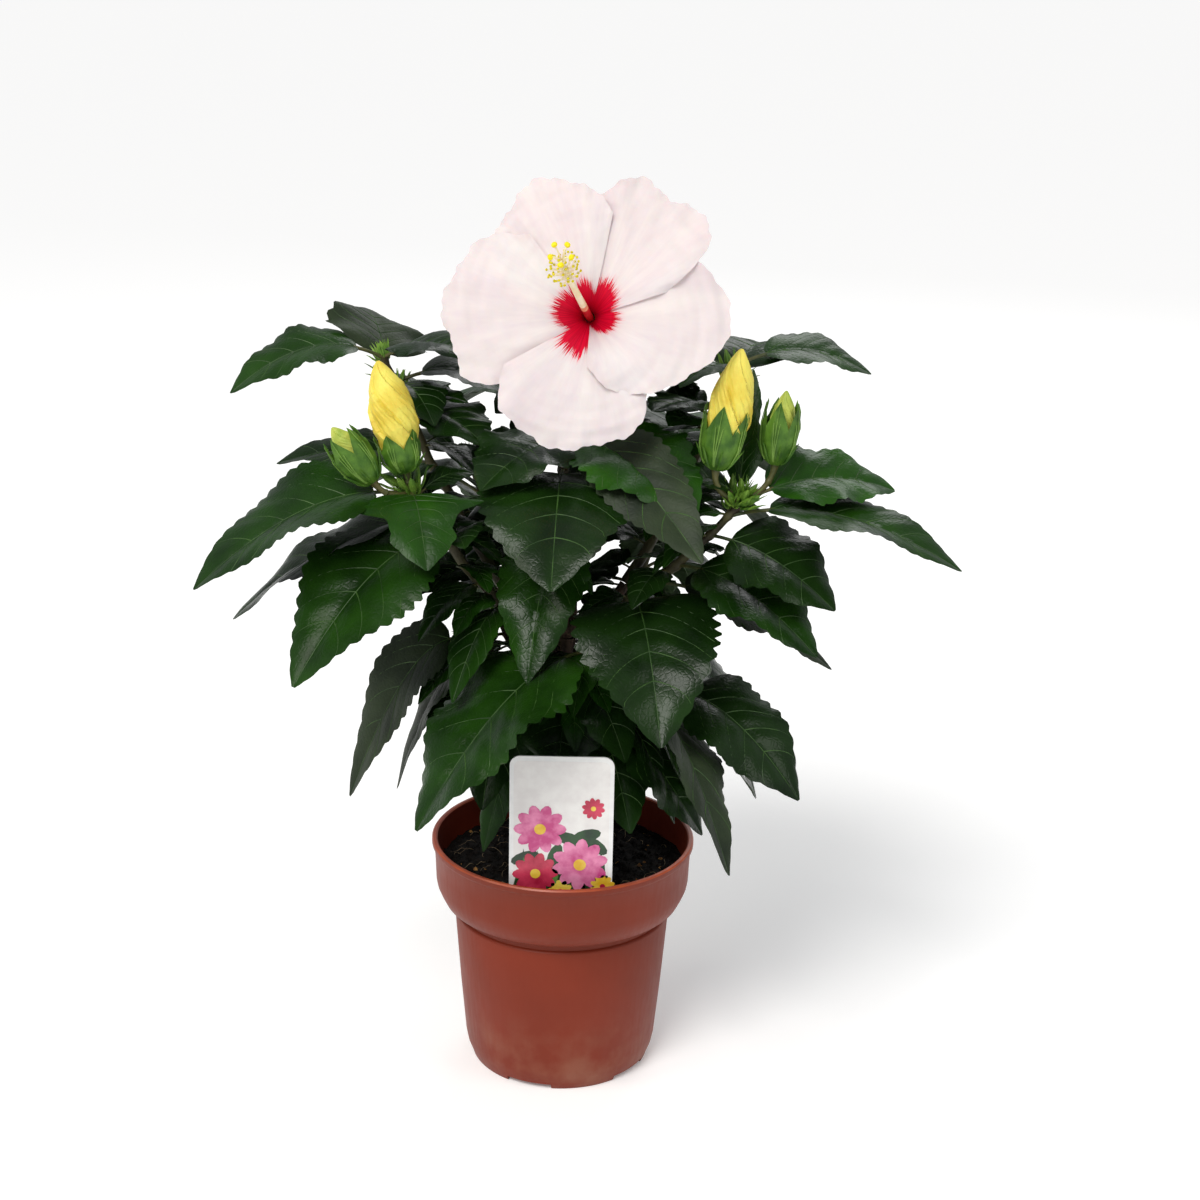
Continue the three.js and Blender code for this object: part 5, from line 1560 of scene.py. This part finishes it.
compost = Pile()
turns = round_turn(BED_COLUMNS)
bed = around(turns, np.linspace(COMPOST_RADIUS, 1, BED_ROWS)[:, None], 0.0)
bed[..., 2] = bed_height(bed[..., 0], bed[..., 1])
skirt = around(turns, COMPOST_RADIUS, COMPOST_TOP - BED_SKIRT)
add_rings(compost, np.concatenate([skirt[None], bed]))
octahedron = np.array([[1, 0, 0], [-1, 0, 0], [0, 1, 0], [0, -1, 0], [0, 0, 1], [0, 0, -1]], float)
octahedron_faces = [[0, 2, 4], [2, 1, 4], [1, 3, 4], [3, 0, 4], [2, 0, 5], [1, 2, 5], [3, 1, 5], [0, 3, 5]]
for finish, number, low, high in ((PEAT, CRUMBS, 0.5, 2.1), (WOOD_CHIP, CHIPS, 0.6, 1.9)):
    for spot in scatter(number):
        size = low + (high - low) * chance.uniform(0, 1) ** 3
        shape_noise = chance.uniform(0.55, 1.25, (6, 3))
        spin = chance.uniform(0, 6.28)
        c, s = math.cos(spin), math.sin(spin)
        turned = np.array([[c, -s, 0], [s, c, 0], [0, 0, 0.8]])
        middle = [*spot, bed_height(*spot) + size * 0.25]
        compost.add((octahedron * shape_noise * size) @ turned.T + middle, octahedron_faces, finish)
for spot in scatter(FIBRES):
    turn = chance.uniform(0, 6.28)
    reach = chance.uniform(3, 11)
    steps = np.linspace(-0.5, 0.5, 7)
    x = spot[0] + steps * reach * math.cos(turn) + 0.6 * np.sin(steps * 5)
    y = spot[1] + steps * reach * math.sin(turn) + 0.6 * np.cos(steps * 7)
    if (np.hypot(x, y) < COMPOST_RADIUS - 1).all():
        line = np.stack([x, y, bed_height(x, y) + 0.5 + 0.7 * np.cos(steps * 3)], axis=-1)
        add_tube(compost, line, [0.08, 0.14, 0.16, 0.16, 0.15, 0.12, 0.07], 4, FIBRE)
compost.piece("peat_compost", COMPOST_FINISHES, "compost", ["compost"])

# %% [markdown]
# ## The plant tag
#
# The tag is a card of laminated plastic on a spike: matt white sheet, printed, with a clear film
# over it, so it reflects softly all over. Its print here is a plain garden motif of its own: round
# daisies among dark leaves and blades of grass, under a pale sky. Each motif is a thin inlay, and the
# layers stand a twentieth of a millimetre proud of one another, so outlines stay sharp.

# %% Tag materials
# Ink under clear film: two close tones with the fine speckle of a printing screen.
TAG_TONES = {
    "laminated_card": ("#e6e6e6", "#f2f2f0"),
    "ink_sky": ("#e4e0de", "#efedea"),
    "ink_grass": ("#14301c", "#274e28"),
    "ink_fresh_green": ("#3c6e34", "#5c8c44"),
    "ink_pink": ("#c44080", "#eb90b8"),
    "ink_red": ("#a8163a", "#d43c5c"),
    "ink_yellow": ("#e0b020", "#f4dc60"),
}
TAG_INKS = [
    mottled(name, tones, (7, 4), Roughness=0.32, IOR=1.49, Coat_Weight=0.3, Coat_Roughness=0.12)
    for name, tones in TAG_TONES.items()
]
CARD, SKY, GRASS, FRESH, PINK, RED, YELLOW = range(7)
print("tag inks:", [material.name for material in TAG_INKS])

# %% Card, spike and print
TAG_WIDTH = 49
TAG_TOP = 181
TAG_SHOULDER = 112
TAG_SPIKE_BOTTOM = 84
TAG_CORNER = 5
TAG_THICKNESS = 0.9
TAG_FORWARD = 52
INLAY = 0.05


def arc(centre, radius, first, last, steps=8):
    turns = np.radians(np.linspace(first, last, steps))
    return [(centre[0] + radius * math.cos(turn), centre[1] + radius * math.sin(turn)) for turn in turns]


def add_plate(pile, outline, front, back, finish):
    """A flat plate with an outline in X and Z, between two depths in Y."""
    rings = [[(x, depth, z) for x, z in outline] for depth in (front, back)]
    add_rings(pile, rings, finish)


tag = Pile()
front = -TAG_FORWARD - TAG_THICKNESS / 2
half = TAG_WIDTH / 2
card = arc((half - TAG_CORNER, TAG_TOP - TAG_CORNER), TAG_CORNER, 0, 90)
card += arc((TAG_CORNER - half, TAG_TOP - TAG_CORNER), TAG_CORNER, 90, 180)
card += [(-half, TAG_SHOULDER - 4), (-9, TAG_SHOULDER - 14), (-3, TAG_SPIKE_BOTTOM)]
card += [(3, TAG_SPIKE_BOTTOM), (9, TAG_SHOULDER - 14), (half, TAG_SHOULDER - 4)]
add_plate(tag, card, front, front + TAG_THICKNESS, CARD)


def ink(outline, layer, finish):
    add_plate(tag, outline, front - INLAY * layer, front, finish)


frame_half = half - 2
sky = arc((frame_half - 3, TAG_TOP - 5.5), 3, 0, 90) + arc((3 - frame_half, TAG_TOP - 5.5), 3, 90, 180)
sky += [(-frame_half, TAG_SHOULDER + 1), (frame_half, TAG_SHOULDER + 1)]
ink(sky, 1, SKY)
for blade in range(22):
    foot = mix(-frame_half + 1.5, frame_half - 1.5, blade / 21)
    height = 9 + 12 * math.sin(blade * 2.4) ** 2
    top = (max(-frame_half, min(frame_half, foot + 3 * math.sin(blade * 1.7))), TAG_SHOULDER + 1 + height)
    left = max(-frame_half, foot - 3)
    right = min(frame_half, foot + 3)
    colour = GRASS if blade % 3 else FRESH
    ink([(left, TAG_SHOULDER + 1), (right, TAG_SHOULDER + 1), top], 2 + blade % 2, colour)


def ink_oval(middle, turn, half_long, half_wide, layer, finish):
    """An oval whose long axis points along the turn: a daisy's ray or a leaf of the print."""
    direction = np.array([math.cos(math.radians(turn)), math.sin(math.radians(turn))])
    sideways = np.array([-direction[1], direction[0]])
    edge = np.radians(np.arange(0, 360, 30))[:, None]
    oval = np.asarray(middle) + direction * np.cos(edge) * half_long + sideways * np.sin(edge) * half_wide
    ink([tuple(point) for point in oval], layer, finish)


PRINTED_LEAVES = [
    (12, 141, 15), (16, 136, -35), (4, 139, 160), (-17, 129, 200),
    (-3, 130, 70), (17, 116, 40), (-19, 112, 100),
]
for number, (x, z, turn) in enumerate(PRINTED_LEAVES):
    ink_oval((x, z), turn, 7, 3.2, 2 + number / 8, GRASS)
DAISIES = [
    (-10, 144, 12.5, PINK), (9, 126, 13.5, PINK), (15, 155, 5.5, RED),
    (-12, 121, 11, RED), (20, 115, 6, YELLOW), (0, 112, 6, YELLOW),
]
for number, (x, z, size, colour) in enumerate(DAISIES):
    for ray in range(10):
        turn = ray * 36 + number * 13
        middle = arc((x, z), size * 0.56, turn, turn, 1)[0]
        ink_oval(middle, turn, size * 0.44, size * 0.24, 4 + ray % 2, colour)
    ink(arc((x, z), size * 0.22, 0, 345, 16), 7, YELLOW if colour != YELLOW else RED)
tag.piece("tag_card", TAG_INKS, "tag", ["plant_tag"])

# %% [markdown]
# ## Floor and light
#
# A floor of white paper that glows a little runs out of the picture on all sides and keeps every
# view plain. The light is that of a photographer's tent: a broad soft sun from above on the left, a
# panel on each side for the waxy leaves to mirror, a panel behind for their margins, and an even
# sky that fills the shade.

# %% Floor, lights and sky
FLOOR_SIZE = 40
PAPER_GLOW = 0.12
SKY_STRENGTH = 0.38
PLANT_MIDDLE = Vector((0, 0, 0.25))
# Name, kind, place, breadth (the sun's in degrees, a panel's in metres), power and colour.
LIGHTS = [
    ("key", "SUN", (-0.6, -1.25, 1.8), 28, 2.0, (1.0, 0.98, 0.95)),
    ("gloss_left", "AREA", (-1.1, -0.5, 1.3), 0.6, 5, (1.0, 0.96, 0.88)),
    ("gloss_right", "AREA", (1.2, -0.6, 1.2), 0.7, 4, (1.0, 0.98, 0.95)),
    ("rim", "AREA", (0.4, 1.5, 1.3), 0.9, 5, (1.0, 1.0, 1.0)),
]
floor_mesh = bpy.data.meshes.new("floor")
edge = FLOOR_SIZE / 2
corners = [(-edge, -edge, 0), (edge, -edge, 0), (edge, edge, 0), (-edge, edge, 0)]
floor_mesh.from_pydata(corners, [], [(0, 1, 2, 3)])
floor_mesh.materials.append(mottled(
    "backdrop_paper", ("#fcfcfc", "#fefefe"), (3, 2), Roughness=1.0, Specular_IOR_Level=0.0,
    Emission_Color=(1, 1, 1, 1), Emission_Strength=PAPER_GLOW,
))
put_in_scene("floor", floor_mesh)
for name, kind, place, breadth, power, colour in LIGHTS:
    data = bpy.data.lights.new(name, kind)
    data.energy = power
    data.color = colour
    if kind == "SUN":
        data.angle = math.radians(breadth)
    else:
        data.size = breadth
    light = put_in_scene(name, data)
    light.location = place
    light.rotation_mode = "QUATERNION"
    light.rotation_quaternion = (PLANT_MIDDLE - Vector(place)).to_track_quat("-Z", "Y")
sky_light = bpy.data.worlds.new("studio")
sky_light.use_nodes = True
sky = sky_light.node_tree.nodes["Background"]
sky.inputs["Color"].default_value = (0.95, 0.97, 1.0, 1)
sky.inputs["Strength"].default_value = SKY_STRENGTH
bpy.context.scene.world = sky_light
bpy.context.scene.view_settings.view_transform = "Standard"
print("a soft sun,", len(LIGHTS) - 1, "panels and an even sky")
